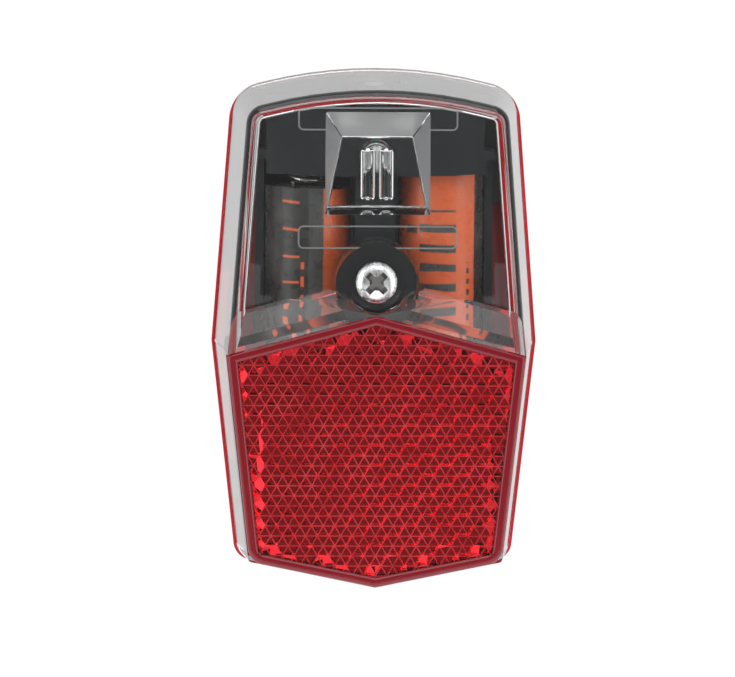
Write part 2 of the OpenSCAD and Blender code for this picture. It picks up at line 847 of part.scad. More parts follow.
// Cone-shaped contact spring, one tube along a narrowing helix
rings_per_turn = 8;
wire_sides = 6;
spring_rings = spring_turns * rings_per_turn;
spring_rise = spring_len - 2 * wire_r - 3 * seat_gap;
function spring_point(i) =
    let (
        share = i / spring_rings,
        r = spring_wide_r + (spring_narrow_r - spring_wide_r) * share,
        turn = 360 * i / rings_per_turn)
    [r * cos(turn), r * sin(turn), wire_r + seat_gap + spring_rise * share];
spring_path = [for (i = [0:spring_rings]) spring_point(i)];
spring_gap = min([for (i = [0:spring_rings], j = [0:spring_rings])
    if (j - i > rings_per_turn / 2) norm(spring_path[j] - spring_path[i]) - 2 * wire_r]);
echo(str("Least gap between the turns of a contact spring: ", spring_gap, " mm"));

module contact_spring() {
    ring_points = [for (i = [0:spring_rings], k = [0:wire_sides - 1])
        let (
            turn = 360 * i / rings_per_turn,
            around = 360 * k / wire_sides,
            outward = [cos(turn), sin(turn), 0])
        spring_path[i] + wire_r * (cos(around) * outward + sin(around) * [0, 0, 1])];
    wall_faces = [for (i = [0:spring_rings - 1], k = [0:wire_sides - 1])
        let (
            a = i * wire_sides + k,
            b = i * wire_sides + (k + 1) % wire_sides)
        each [[a, a + wire_sides, b], [b, a + wire_sides, b + wire_sides]]];
    last = spring_rings * wire_sides;
    cap_faces = [for (k = [1:wire_sides - 2]) each [[0, k, k + 1], [last, last + k + 1, last + k]]];
    polyhedron(ring_points, concat(wall_faces, cap_faces));
}

module negative_spring() color([0.80, 0.80, 0.78]) {
    translate([-cell_x, -cell_axis_d, top_z])
        rotate([180, 0, 0])
            contact_spring();
}

module bridge_spring() color([0.80, 0.80, 0.78]) {
    translate([cell_x, -cell_axis_d, bottom_z])
        contact_spring();
}

// Board, lamp and driver parts
module led_board() color([0.10, 0.35, 0.22]) {
    block(board_t / 2, board_low_z, board_top_z, board_back_d, board_front_d);
}

module led() color([0.90, 0.91, 0.93]) {
    translate([0, -lamp_back_d, lamp_z])
        rotate([90, 0, 0]) {
            cylinder(h = collar_t, r = collar_r);
            cylinder(h = collar_t + lamp_len - lamp_r, r = lamp_r);
            translate([0, 0, collar_t + lamp_len - lamp_r])
                sphere(r = lamp_r);
        }
}

module chip(side, z, d, height, length, rise) {
    block(rise / 2, z, z + height, d, d + length, side * (board_t + rise) / 2);
}

module board_components() color([0.13, 0.13, 0.14]) {
    chip_d = hollow_d + rib_len + tray_gap;
    tall = hollow_half_w - board_t / 2 - tray_gap;
    low = tall / 3;
    chip(1, board_low_z + 2 * small_chip, chip_d, driver_chip, driver_chip, tall);
    chip(-1, board_low_z + 2 * small_chip, chip_d, coil_chip, coil_chip, tall);
    chip(1, board_low_z + small_chip / 2, chip_d, small_chip, 2 * small_chip, low);
    chip(-1, board_low_z + small_chip / 2, chip_d, small_chip, 2 * small_chip, low);
}

// Switch on the board's top edge, its plunger and the rubber button
module switch_body() color([0.10, 0.10, 0.11]) {
    difference() {
        block(switch_w / 2, board_top_z, switch_top_z, button_d - switch_w / 2, button_d + switch_w / 2);
        translate([0, -button_d, plunger_low_z - button_travel - tray_gap])
            cylinder(h = switch_h, r = plunger_r + seat_gap);
    }
}

module switch_plunger() color([0.85, 0.85, 0.83]) {
    translate([0, -button_d, plunger_low_z])
        cylinder(h = flange_low_z - plunger_low_z, r = plunger_r);
}

module button_cap() color([0.09, 0.09, 0.10]) {
    straight_h = button_top_z - flange_low_z - button_bevel;
    translate([0, -button_d, flange_low_z]) {
        cylinder(h = flange_t, r = button_r + button_flange);
        cylinder(h = straight_h, r = button_r);
        translate([0, 0, straight_h])
            cylinder(h = button_bevel, r1 = button_r, r2 = button_r - button_bevel);
    }
}

// Fasteners
module captive_nut() color([0.75, 0.76, 0.78]) {
    translate([0, -clamp_wall, 0])
        rotate([90, 30, 0])
            difference() {
                cylinder(h = nut_t, r = nut_flats / 2 / cos(30), $fn = 6);
                translate([0, 0, -join])
                    cylinder(h = nut_t + 2 * join, r = nut_thread_r);
            }
}

module cover_screw() color([0.85, 0.86, 0.88]) {
    difference() {
        translate([0, -screw_tip_d, screw_z])
            rotate([90, 0, 0])
                rotate_extrude()
                    polygon([
                        [0, 0],
                        [tip_r, 0],
                        [thread_r, thread_r],
                        [thread_r, screw_len],
                        [head_r, screw_len],
                        [head_r, screw_len + head_h - head_edge],
                        [head_r - head_edge, screw_len + head_h],
                        [0, screw_len + head_h]]);
        for (turn = [45, 135])
            translate([0, -head_d - head_h + slot_depth, screw_z])
                rotate([90, turn, 0])
                    translate([-slot_len / 2, -slot_w / 2, 0])
                        cube([slot_len, slot_w, slot_depth + join]);
    }
}

module screw_seal() color([0.10, 0.10, 0.11]) {
    translate([0, -well_floor_d, screw_z])
        rotate([90, 0, 0])
            difference() {
                cylinder(h = seal_t, r = head_r);
                translate([0, 0, -join])
                    cylinder(h = seal_t + 2 * join, r = thread_r + 2 * seat_gap);
            }
}

module tray_screws() color([0.75, 0.76, 0.78]) {
    for (place = tray_screw_places) {
        pin(place[0], place[1], tray_screw_d, flange_d + tray_plate - tray_screw_d, tray_screw_r);
        pin(place[0], place[1], flange_d + tray_plate, tray_head_h, tray_head_r);
    }
}

rear_housing();
battery_tray();
clear_cover();
reflector();
cover_screw();
screw_seal();
cover_gasket();
left_cell();
left_cell_sleeve();
right_cell();
right_cell_sleeve();
positive_contact();
negative_contact();
negative_spring();
bridge_plate();
bridge_spring();
led_board();
led();
board_components();
switch_body();
switch_plunger();
button_cap();
captive_nut();
tray_screws();
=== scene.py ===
import json
import math

import bmesh
import bpy
from bpy.props import FloatProperty, FloatVectorProperty, PointerProperty
from mathutils import Matrix, Vector


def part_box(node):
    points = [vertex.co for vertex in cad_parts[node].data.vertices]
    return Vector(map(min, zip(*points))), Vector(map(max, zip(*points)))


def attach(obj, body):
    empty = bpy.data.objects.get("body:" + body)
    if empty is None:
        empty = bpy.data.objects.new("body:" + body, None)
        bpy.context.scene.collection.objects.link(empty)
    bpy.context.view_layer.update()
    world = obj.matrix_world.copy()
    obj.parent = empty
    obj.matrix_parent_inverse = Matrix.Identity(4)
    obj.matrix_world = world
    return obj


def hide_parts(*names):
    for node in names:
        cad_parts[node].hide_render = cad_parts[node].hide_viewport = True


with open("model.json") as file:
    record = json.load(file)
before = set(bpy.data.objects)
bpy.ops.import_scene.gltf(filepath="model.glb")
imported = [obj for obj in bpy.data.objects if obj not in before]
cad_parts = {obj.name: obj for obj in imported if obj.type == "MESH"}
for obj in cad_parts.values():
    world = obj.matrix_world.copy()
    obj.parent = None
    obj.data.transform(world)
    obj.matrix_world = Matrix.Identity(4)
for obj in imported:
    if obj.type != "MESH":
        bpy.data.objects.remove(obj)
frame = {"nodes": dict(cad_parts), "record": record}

bl_info = {
    "name": "Bicycle rear light",
    "version": (1, 0, 0),
    "blender": (4, 5, 0),
    "location": "3D View > Sidebar > Rear light",
    "description": "Builds a bicycle rear light with a clear cover and a cube-corner reflector",
    "category": "Add Mesh",
}

# X points right as seen from behind the bicycle, Z points up and the light faces minus Y.
# A depth is a distance forward of the mounting face, so a depth of 15 mm lies at Y = -0.015.
MM = 0.001
MERGE = 2e-7
FAR = 0.06
ROUND = 64

RECORD = frame["record"]
NODE_BODY = {n: body for body, nodes in RECORD["behaviour"]["bodies"].items() for n in nodes}
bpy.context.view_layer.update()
COVER_LOW, COVER_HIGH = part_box("clear_cover")
PLATE_LOW, PLATE_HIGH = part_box("reflector")
SCREW_LOW, SCREW_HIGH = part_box("cover_screw")
SEAL_LOW, SEAL_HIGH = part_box("screw_seal")
SCREW_Z = (SCREW_LOW.z + SCREW_HIGH.z) / 2


# Settings

def size(mm, name, description):
    """A length that is given in millimetres and kept in metres."""
    return FloatProperty(name=name, description=description, default=mm * MM, precision=5, unit="LENGTH")


def from_frame(metres, name, description):
    """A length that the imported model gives, in metres."""
    return FloatProperty(name=name, description=description, default=metres, precision=5, unit="LENGTH")


def angle(degrees, name, description):
    return FloatProperty(name=name, description=description, default=math.radians(degrees), subtype="ANGLE")


def share(value, name, description):
    return FloatProperty(name=name, description=description, default=value, subtype="FACTOR", min=0, max=1)


def colour(rgb, name, description):
    return FloatVectorProperty(name=name, description=description, default=rgb, size=3, subtype="COLOR",
                               min=0, max=1)


class CaseSizes(bpy.types.PropertyGroup):
    """Outline and depths that the housing and the cover share"""
    waist_half_w: size(27.5, "Waist", "Half of the width across the widest line")
    waist_z: size(10, "Waist height", "Height of the widest line above the mounting hole")
    crown_half_w: size(24.2, "Crown", "Half of the width between the top shoulders")
    crown_z: size(56.7, "Crown height", "Height of the top of the arch")
    arch_r: size(77, "Arch radius", "Radius of the arched top")
    arch_slope: angle(14, "Arch slope", "Slope of the arch where it meets the shoulders")
    shoulder_r: size(6, "Shoulder radius", "Radius of the top shoulders")
    foot_half_w: size(23.4, "Foot", "Half of the width between the bottom corners")
    foot_z: size(-27.3, "Foot height", "Height of the bottom corners")
    tip_drop: size(4.8, "Tip drop", "Drop from the bottom corners to the tip")
    foot_r: size(3, "Foot radius", "Radius of the bottom corners")
    soft_r: size(2, "Soft radius", "Radius that softens the tip and the widest line")
    rim_d: from_frame(-COVER_HIGH.y, "Cover rim", "Depth of the cover's rim")
    seam_d: size(15, "Seam", "Depth of the housing's rim")
    bezel_d: from_frame(-PLATE_LOW.y, "Bezel", "Depth of the reflector's frame")
    front_d: from_frame(-COVER_LOW.y, "Front", "Depth of the window")
    cover_draft: size(2.5, "Cover draft", "How far the cover's sides lean in up to the reflector")
    housing_draft: size(1.55, "Housing draft", "How far the housing's sides lean in")
    rim_step: size(0.35, "Rim step", "How far the housing stands out past the cover")
    crown_tuck: size(0.5, "Crown tuck", "How far the housing's arched top is lowered behind the cover")
    back_edge: size(2, "Back edge", "Width of the rounded edge round the housing's back")
    pad_t: size(1.5, "Pad", "Height of the mounting pad")
    cover_wall: size(1.8, "Cover wall", "Wall of the clear cover")
    housing_wall: size(2, "Housing wall", "Wall of the housing")


class CoverSizes(bpy.types.PropertyGroup):
    """Forms inside the clear cover"""
    edge_in: size(1.6, "Edge width", "Width of the rounded edge round the window, seen from the front")
    edge_deep: size(2.2, "Edge depth", "Depth of the rounded edge round the window")
    inner_edge: size(0.5, "Inner edge", "Radius of the rounded edge inside the window")
    roof_z: from_frame(PLATE_HIGH.z, "Roof", "Height of the reflector's peak")
    roof_slope: angle(15, "Roof slope", "Slope of the reflector's top edges")
    lip_z: size(19.4, "Lip", "Height at which the slope above the reflector meets the window")
    lip_half_w: size(15, "Lip width", "Half of the straight length of that edge")
    well_r: size(4.7, "Well", "Radius of the well over the screw")
    tower_r: size(7, "Tower", "Radius of the screw tower")
    tower_floor: size(3.2, "Tower floor", "Thickness of the tower's floor")
    screw_hole_r: size(2, "Screw hole", "Radius of the hole for the screw")
    guide_half_w: size(8.75, "Guide width", "Half of the front width of the light guide")
    guide_low_z: size(33.3, "Guide bottom", "Lower edge of the light guide")
    guide_high_z: size(50.5, "Guide top", "Upper edge of the light guide")
    guide_len: size(10, "Guide length", "Length of the light guide")
    guide_top_slope: size(4.6, "Guide top slope", "How far the guide's top slopes down to the lamp")
    guide_side_slope: size(2.8, "Guide side slope", "How far the guide's sides close in at the top")
    guide_foot_slope: size(0.4, "Guide foot slope", "How far the guide's sides close in at the bottom")
    flute_r: size(1.3, "Flute", "Radius of the flutes on the guide's back")
    flute_pitch: size(3.1, "Flute pitch", "Distance between the flutes")
    line_w: size(0.32, "Line width", "Width of the fine lines left by the mould's inserts")
    line_half_w: size(13.1, "Line field", "Half of the width of the fields that those lines frame")
    line_top: size(49.2, "Upper field", "Height of the middle of the upper field")
    line_bottom: size(29.6, "Lower field", "Height of the middle of the lower field")
    line_half_h: size(1.8, "Field height", "Half of the height of those fields")
    edge_r: size(0.22, "Edge radius", "Radius of the moulded edges")


class ReflectorSizes(bpy.types.PropertyGroup):
    """Cube-corner reflector"""
    frame_w: size(1.7, "Frame width", "Width of the raised frame")
    frame_h: size(0.8, "Frame height", "Height of the frame above the plate")
    plate_t: size(1, "Plate", "Thickness of the plate")
    cell_side: size(1.95, "Cell", "Side of one hexagonal cell")
    edge_w: size(0.12, "Cell edges", "Width of the rounded edges between the faces of a cell")
    # Width of the paler lines painted on the reflector's front face: a painted highlight over the cells'
    # edges.
    line_w: size(0.22, "Line width", "Width of the fine lines over the cells' edges")
    pocket_gap: size(0.4, "Pocket gap", "Gap behind the tips of the cells")
    sheet_inset: size(0.12, "Sheet inset", "Gap between the cells and the wall of their pocket")


class FittingSizes(bpy.types.PropertyGroup):
    """Cells, screws, springs and lamp"""
    head_h: size(2.3, "Head height", "Height of the cover screw's head")
    thread_pitch: size(1.3, "Thread pitch", "Rise of the cover screw's thread in one turn")
    thread_depth: size(0.35, "Thread depth", "Depth of the cover screw's thread")
    cross_len: size(4.6, "Cross length", "Length of the arms of the screw's cross")
    cross_w: size(1.2, "Cross width", "Width of the arms of the screw's cross")
    cross_depth: size(1.4, "Cross depth", "Depth of the screw's cross")
    film_t: size(0.15, "Film", "Thickness of a cell's printed sleeve")
    film_lip: size(1.5, "Film lip", "How far the sleeve turns in over a cell's ends")
    nub_r: size(2.7, "Button", "Radius of a cell's button")
    nub_len: size(1, "Button height", "Height of a cell's button")
    wire_r: size(0.3, "Wire", "Radius of the spring wire")
    spring_wide_r: size(4.2, "Spring base", "Radius of a contact spring at its plate")
    spring_narrow_r: size(2.6, "Spring tip", "Radius of a contact spring at its cell")
    spring_turns: FloatProperty(name="Turns", description="Turns of a contact spring", default=3.5, min=1)
    groove_w: size(0.8, "Gasket", "Width of the gasket and its groove")
    nut_flats: size(8, "Nut", "Width of the nut across its flats")
    nut_thread_r: size(2.1, "Nut thread", "Radius of the nut's threaded hole")
    bolt_hole_r: size(2.75, "Bolt hole", "Radius of the mounting hole")


class Finishes(bpy.types.PropertyGroup):
    """Colours of the materials"""
    red_plastic: colour((0.44, 0.008, 0.016), "Housing red", "Colour of the housing")
    red_clear: colour((0.86, 0.020, 0.030), "Reflector red", "Tint of the reflector")
    red_frame: colour((0.17, 0.003, 0.009), "Frame red", "Colour of the reflector's frame")
    # Paler red painted in lines on the reflector's front face: a painted highlight over the cells' edges.
    painted_line_highlight: colour((0.46, 0.026, 0.036), "Cell lines", "Colour of the fine lines over the cells' edges")
    # Pale colour of the rounded edges between the reflector's faces: a painted highlight.
    cell_edge_glint: colour((0.92, 0.36, 0.33), "Cell edges", "Colour of the edges between the reflector's faces")
    clear: colour((0.965, 0.98, 0.975), "Clear", "Tint of the cover")
    # Grey that darkens the light guide's frosted faces and the insert lines: painted shade on clear plastic.
    shaded_satin: colour((0.24, 0.245, 0.25), "Satin", "Colour of the light guide's satin faces")
    black_plastic: colour((0.009, 0.010, 0.011), "Tray black", "Colour of the tray")
    orange: colour((0.60, 0.095, 0.018), "Sleeve orange", "Orange of the cells' print")
    ink: colour((0.014, 0.013, 0.013), "Sleeve black", "Black of the cells' print")
    charcoal: colour((0.045, 0.047, 0.046), "Sleeve grey", "Grey band of the cells' print")
    bright: colour((0.86, 0.86, 0.87), "Bright plate", "Colour of the cover screw")
    zinc: colour((0.58, 0.60, 0.63), "Zinc", "Colour of the nut and the tray screws")
    contact: colour((0.72, 0.70, 0.66), "Contacts", "Colour of the contacts and springs")
    rubber: colour((0.018, 0.018, 0.019), "Rubber", "Colour of the button and the washer")
    gasket: colour((0.55, 0.56, 0.57), "Gasket", "Colour of the rim's gasket")
    board: colour((0.02, 0.15, 0.07), "Board", "Colour of the circuit board")
    copper: colour((0.10, 0.30, 0.13), "Tracks", "Colour of the tracks under the solder mask")
    lamp: colour((0.93, 0.93, 0.95), "Lamp", "Tint of the lamp's body")


class Studio(bpy.types.PropertyGroup):
    """Camera, floor and lights"""
    aim: FloatVectorProperty(name="Aim", description="Point that the photograph is centred on",
                             default=(0, -0.025, 0.0131), subtype="XYZ", unit="LENGTH", precision=5)
    aim_right: size(-1.27, "Aim right", "Shift of the aim to the right in the picture")
    aim_up: size(-1.86, "Aim up", "Shift of the aim upwards in the picture")
    distance: size(760, "Distance", "Distance of the camera")
    azimuth: angle(-1.2, "Azimuth", "Turn of the camera round the light")
    elevation: angle(5.5, "Elevation", "Height of the camera as an angle")
    roll: angle(0.3, "Roll", "Tilt of the camera about its own axis")
    lens: FloatProperty(name="Lens", description="Focal length in millimetres", default=219.6, min=1)
    floor_z: size(-260, "Floor", "Height of the floor")
    floor_r: size(1300, "Floor radius", "Radius of the floor")
    front_glow: share(0.22, "Front glow", "Brightness of the room round the camera")
    room_glow: share(0.8, "Room glow", "Brightness of the rest of the room")
    floor_glow: share(0.6, "Floor glow", "Light that the floor gives off")
    floor_tint: colour((0.86, 0.86, 0.87), "Floor colour", "Colour of the floor")


class RearLight(bpy.types.PropertyGroup):
    """All settings of the rear light"""
    case: PointerProperty(type=CaseSizes)
    cover: PointerProperty(type=CoverSizes)
    reflector: PointerProperty(type=ReflectorSizes)
    fittings: PointerProperty(type=FittingSizes)
    finishes: PointerProperty(type=Finishes)
    studio: PointerProperty(type=Studio)


# Outlines, as lists of X, Z and radius, turning left

def case_corners(case, tuck=0.0):
    """Corners of the case at the seam, turning left from the tip. A tuck lowers the arched top."""
    apex_z = case.crown_z - tuck + case.arch_r * (1 / math.cos(case.arch_slope) - 1)
    shoulder_z = apex_z - case.crown_half_w * math.tan(case.arch_slope)
    side = [
        (case.foot_half_w, case.foot_z, case.foot_r),
        (case.waist_half_w, case.waist_z, case.soft_r),
        (case.crown_half_w, shoulder_z, case.shoulder_r),
    ]
    mirrored = [(-x, z, r) for x, z, r in reversed(side)]
    return [(0, case.foot_z - case.tip_drop, case.soft_r), *side, (0, apex_z, case.arch_r), *mirrored]


def drawn_in(corners, inset):
    """The corners of a convex outline moved in by inset, with their radii drawn in too."""
    moved = []
    for i, (x, z, r) in enumerate(corners):
        before, at, after = (Vector(corners[(i + k) % len(corners)][:2]) for k in (-1, 0, 1))
        u, w = (at - before).normalized(), (after - at).normalized()
        inward_u, inward_w = Vector((-u.y, u.x)), Vector((-w.y, w.x))
        p = at + (inward_u + inward_w) * (inset / (1 + inward_u.dot(inward_w)))
        moved.append((p.x, p.y, max(r - inset, 0.25 * MM)))
    return moved


def rounded(corners, arc_step=math.radians(3)):
    """Points of an outline with its corners rounded. The count depends only on the angles."""
    points = []
    for i, (x, z, r) in enumerate(corners):
        before, at, after = (Vector(corners[(i + k) % len(corners)][:2]) for k in (-1, 0, 1))
        u, w = (before - at).normalized(), (after - at).normalized()
        half = u.angle(w) / 2
        centre = at + (u + w).normalized() * (r / math.sin(half))
        foot = at + u * (r / math.tan(half)) - centre
        start, sweep = math.atan2(foot.y, foot.x), math.pi - 2 * half
        steps = max(4, math.ceil(round(sweep / arc_step, 3)))
        for k in range(steps + 1):
            turn = start + sweep * k / steps
            points.append(centre + r * Vector((math.cos(turn), math.sin(turn))))
    return points


def ring(corners, inset, depth):
    return [Vector((p.x, -depth, p.y)) for p in rounded(drawn_in(corners, inset))]


def reflector_corners(case, cover):
    """Corners of the reflector, flush with the cover's sides and under the sloping roof."""
    tip, foot, waist = drawn_in(case_corners(case), case.cover_draft)[:3]
    slope = math.tan(cover.roof_slope)
    lean = (waist[0] - foot[0]) / (waist[1] - foot[1])
    top_z = (cover.roof_z - slope * (foot[0] - lean * foot[1])) / (1 + slope * lean)
    top_x = foot[0] + lean * (top_z - foot[1])
    corner_r = 0.9 * MM
    side = [(foot[0], foot[1], case.foot_r), (top_x, top_z, corner_r)]
    mirrored = [(-x, z, r) for x, z, r in reversed(side)]
    return [(0, tip[1], case.soft_r), *side, (0, cover.roof_z, corner_r), *mirrored]


def cover_inset(case, depth):
    return case.cover_draft * (depth - case.seam_d) / (case.bezel_d - case.seam_d)


def housing_inset(case, depth):
    reach = case.seam_d - case.pad_t - case.back_edge
    return -case.rim_step + case.housing_draft * (case.seam_d - depth) / reach


# Mesh helpers

def new_object(name, bm):
    """Turns a bmesh of closed solids into an object with its faces pointing outwards."""
    bmesh.ops.remove_doubles(bm, verts=bm.verts, dist=MERGE)
    bmesh.ops.recalc_face_normals(bm, faces=bm.faces)
    mesh = bpy.data.meshes.new(name)
    bm.to_mesh(mesh)
    bm.free()
    return link(name, mesh)


def link(name, mesh):
    made = bpy.data.objects.new(name, mesh)
    bpy.context.scene.collection.objects.link(made)
    return made


def loft(name, rings, closed=False):
    """A solid over rings of equal count: capped at both ends, or closed from the last to the first."""
    bm = bmesh.new()
    loops = [[bm.verts.new(p) for p in points] for points in rings]
    pairs = list(zip(loops, loops[1:]))
    if closed:
        pairs.append((loops[-1], loops[0]))
    else:
        bm.faces.new(loops[0])
        bm.faces.new(loops[-1])
    for a, b in pairs:
        for i in range(len(a)):
            j = (i + 1) % len(a)
            bm.faces.new((a[i], a[j], b[j], b[i]))
    return new_object(name, bm)


def circle(r, h, count=ROUND):
    return [Vector((r * math.cos(2 * math.pi * i / count), r * math.sin(2 * math.pi * i / count), h))
            for i in range(count)]


def lathe(name, profile, place=Matrix(), count=ROUND, closed=False):
    """A turned solid from radius and height pairs, along its own Z axis and then set in place."""
    made = loft(name, [circle(r, h, count) for r, h in profile], closed)
    made.data.transform(place)
    return made


def forward(x, depth, z):
    """Turns a solid's Z axis to the front and sets it at a point."""
    return Matrix.Translation((x, -depth, z)) @ Matrix.Rotation(math.pi / 2, 4, "X")


def rod(name, r, x, z, back, front, count=ROUND):
    return lathe(name, [(r, 0), (r, front - back)], forward(x, back, z), count)


def block(name, low, high):
    """A plain box, used to cut or keep a part of a solid."""
    base = ((low[0], low[1]), (high[0], low[1]), (high[0], high[1]), (low[0], high[1]))
    return loft(name, [[Vector((x, y, z)) for x, y in base] for z in (low[2], high[2])])


def settle(piece):
    """Makes a piece's modifiers part of its mesh."""
    graph = bpy.context.evaluated_depsgraph_get()
    mesh = bpy.data.meshes.new_from_object(piece.evaluated_get(graph))
    piece.modifiers.clear()
    old, piece.data = piece.data, mesh
    bpy.data.meshes.remove(old)
    return piece


def combine(piece, others, operation="DIFFERENCE"):
    """Cuts, joins or keeps a piece by other solids, which are used up."""
    for other in others if isinstance(others, (list, tuple)) else [others]:
        modifier = piece.modifiers.new("combine", "BOOLEAN")
        modifier.operation = operation
        modifier.solver = "EXACT"
        modifier.object = other
        settle(piece)
        used = other.data
        bpy.data.objects.remove(other)
        bpy.data.meshes.remove(used)
    return piece


def soften(piece, width, segments=2, limit=50, smooth=32, slot=-1):
    """Rounds the edges that turn by more than limit degrees and keeps the faces beside them flat.
    The rounded edges take the material of the given slot, or that of the faces beside them."""
    shade(piece, smooth)
    modifier = piece.modifiers.new("soften", "BEVEL")
    modifier.width = width
    modifier.segments = segments
    modifier.limit_method = "ANGLE"
    modifier.angle_limit = math.radians(limit)
    modifier.material = slot
    weighted = piece.modifiers.new("flatten", "WEIGHTED_NORMAL")
    weighted.mode = "FACE_AREA"
    weighted.weight = 100
    weighted.keep_sharp = True
    return settle(piece)


def shade(piece, limit=32):
    piece.data.shade_smooth()
    piece.data.set_sharp_from_angle(angle=math.radians(limit))
    return piece


def cad_copy(node, name):
    """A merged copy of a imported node's mesh, with its flat faces joined."""
    bm = bmesh.new()
    bm.from_mesh(frame["nodes"][node].data)
    bmesh.ops.remove_doubles(bm, verts=bm.verts, dist=1e-6)
    bmesh.ops.dissolve_limit(bm, angle_limit=math.radians(1), verts=bm.verts, edges=bm.edges)
    return new_object(name, bm)


def seat(piece, node, *materials):
    """Gives a finished piece its materials and its node's body, and hides the imported node that it stands
    for.
    """
    piece.data.materials.clear()
    for material in materials:
        piece.data.materials.append(material)
    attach(piece, NODE_BODY[node])
    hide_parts(node)
    return piece


# Geometry Nodes helpers

class Tree:
    """One node tree with named inputs, baked to a plain mesh."""

    def __init__(self, name, sockets):
        self.tree = bpy.data.node_groups.new(name, "GeometryNodeTree")
        self.values = {}
        self.tree.interface.new_socket("Geometry", in_out="OUTPUT", socket_type="NodeSocketGeometry")
        for label, (kind, value) in sockets.items():
            made = self.tree.interface.new_socket(label, in_out="INPUT", socket_type="NodeSocket" + kind)
            self.values[made.identifier] = value
        self.inputs = self.tree.nodes.new("NodeGroupInput").outputs

    def node(self, kind, sockets=None, **settings):
        made = self.tree.nodes.new(kind)
        for key, value in settings.items():
            setattr(made, key, value)
        for key, value in (sockets or {}).items():
            if isinstance(value, bpy.types.NodeSocket):
                self.tree.links.new(value, made.inputs[key])
            else:
                made.inputs[key].default_value = value
        return made

    def math(self, operation, a, b=0.0):
        return self.node("ShaderNodeMath", {0: a, 1: b}, operation=operation).outputs[0]

    def bake(self, geometry, name):
        """Ends the tree in real geometry with its material and returns it as an object."""
        real = self.node("GeometryNodeRealizeInstances", {"Geometry": geometry})
        merged = self.node("GeometryNodeMergeByDistance", {"Geometry": real.outputs[0], "Distance": 1e-6})
        painted = self.node("GeometryNodeSetMaterial",
                            {"Geometry": merged.outputs[0], "Material": self.inputs["Material"]})
        self.node("NodeGroupOutput", {"Geometry": painted.outputs[0]})
        made = link(name, bpy.data.meshes.new(name))
        modifier = made.modifiers.new("nodes", "NODES")
        modifier.node_group = self.tree
        for identifier, value in self.values.items():
            modifier[identifier] = value
        return settle(made)


# Material helpers

class Finish:
    """Short calls for building one material's nodes round a principled shader."""

    def __init__(self, name, **sockets):
        self.material = bpy.data.materials.new(name)
        self.material.use_nodes = True
        self.tree = self.material.node_tree
        self.tree.nodes.clear()
        self.shader = self.node("ShaderNodeBsdfPrincipled")
        self.output = self.node("ShaderNodeOutputMaterial", {"Surface": self.shader.outputs[0]})
        self.place = self.node("ShaderNodeTexCoord").outputs["Object"]
        self.set(**sockets)

    def set(self, **sockets):
        for key, value in sockets.items():
            self.wire(self.shader.inputs[key.replace("_", " ")], value)

    def wire(self, socket, value):
        if isinstance(value, bpy.types.NodeSocket):
            self.tree.links.new(value, socket)
        elif hasattr(value, "__len__") and len(value) == 3 and len(socket.default_value) == 4:
            socket.default_value = (*value, 1)
        else:
            socket.default_value = value

    def node(self, kind, sockets=None, **settings):
        made = self.tree.nodes.new(kind)
        for key, value in settings.items():
            setattr(made, key, value)
        for key, value in (sockets or {}).items():
            self.wire(made.inputs[key], value)
        return made

    def math(self, operation, a, b=0.0, c=0.0):
        return self.node("ShaderNodeMath", {0: a, 1: b, 2: c}, operation=operation).outputs[0]

    def mix(self, factor, a, b):
        made = self.node("ShaderNodeMix", {0: factor, 6: a, 7: b}, data_type="RGBA")
        return made.outputs[2]

    def noise(self, scale, detail=3, roughness=0.55):
        made = self.node("ShaderNodeTexNoise", {"Vector": self.place, "Scale": scale, "Detail": detail,
                                                "Roughness": roughness})
        return made.outputs[0]

    def ramp(self, value, low, high, out_low=0.0, out_high=1.0):
        made = self.node("ShaderNodeMapRange", {0: value, 1: low, 2: high, 3: out_low, 4: out_high})
        return made.outputs[0]

    def band(self, value, low, high, blur):
        """One between low and high, fading to zero over blur."""
        rise = self.ramp(value, low - blur, low + blur)
        fall = self.ramp(value, high - blur, high + blur, 1.0, 0.0)
        return self.math("MULTIPLY", rise, fall)

    def bump(self, height, depth, strength=1.0):
        made = self.node("ShaderNodeBump", {"Strength": strength, "Distance": depth, "Height": height})
        self.set(Normal=made.outputs[0])

    def axis(self, index):
        return self.node("ShaderNodeSeparateXYZ", {0: self.place}).outputs[index]

    def specks(self, scale, share_shown, spread):
        """Sparse round dots: one at a dot and zero elsewhere."""
        cells = self.node("ShaderNodeTexVoronoi", {"Vector": self.place, "Scale": scale})
        picked = self.node("ShaderNodeSeparateColor", {0: cells.outputs["Color"]}).outputs[0]
        shown = self.math("LESS_THAN", picked, share_shown)
        dot = self.ramp(cells.outputs["Distance"], spread * 0.6, spread, 1.0, 0.0)
        return self.math("MULTIPLY", shown, dot)

    def let_lamps_through(self, tint):
        """Lets lamp light pass, so that clear plastic casts no black shadow."""
        thin = self.node("ShaderNodeBsdfTransparent", {0: tint})
        path = self.node("ShaderNodeLightPath")
        mixed = self.node("ShaderNodeMixShader", {0: path.outputs["Is Shadow Ray"], 1: self.shader.outputs[0],
                                                  2: thin.outputs[0]})
        self.tree.links.new(mixed.outputs[0], self.output.inputs["Surface"])


def moulded(name, rgb, rough, grain_scale=900, grain=0.02 * MM, vary=0.12, **sockets):
    """Moulded plastic or rubber: fine grain, slight patches of colour and polish."""
    made = Finish(name, **sockets)
    patches = made.noise(90, 2)
    darker = tuple(c * (1 - vary) for c in rgb)
    paler = tuple(min(1, c * (1 + vary) + 0.004) for c in rgb)
    made.set(Base_Color=made.mix(patches, darker, paler))
    worn = made.noise(320, 4)
    made.set(Roughness=made.ramp(worn, 0.3, 0.7, rough * 0.8, rough * 1.2))
    made.bump(made.noise(grain_scale, 2), grain, 0.35)
    return made.material


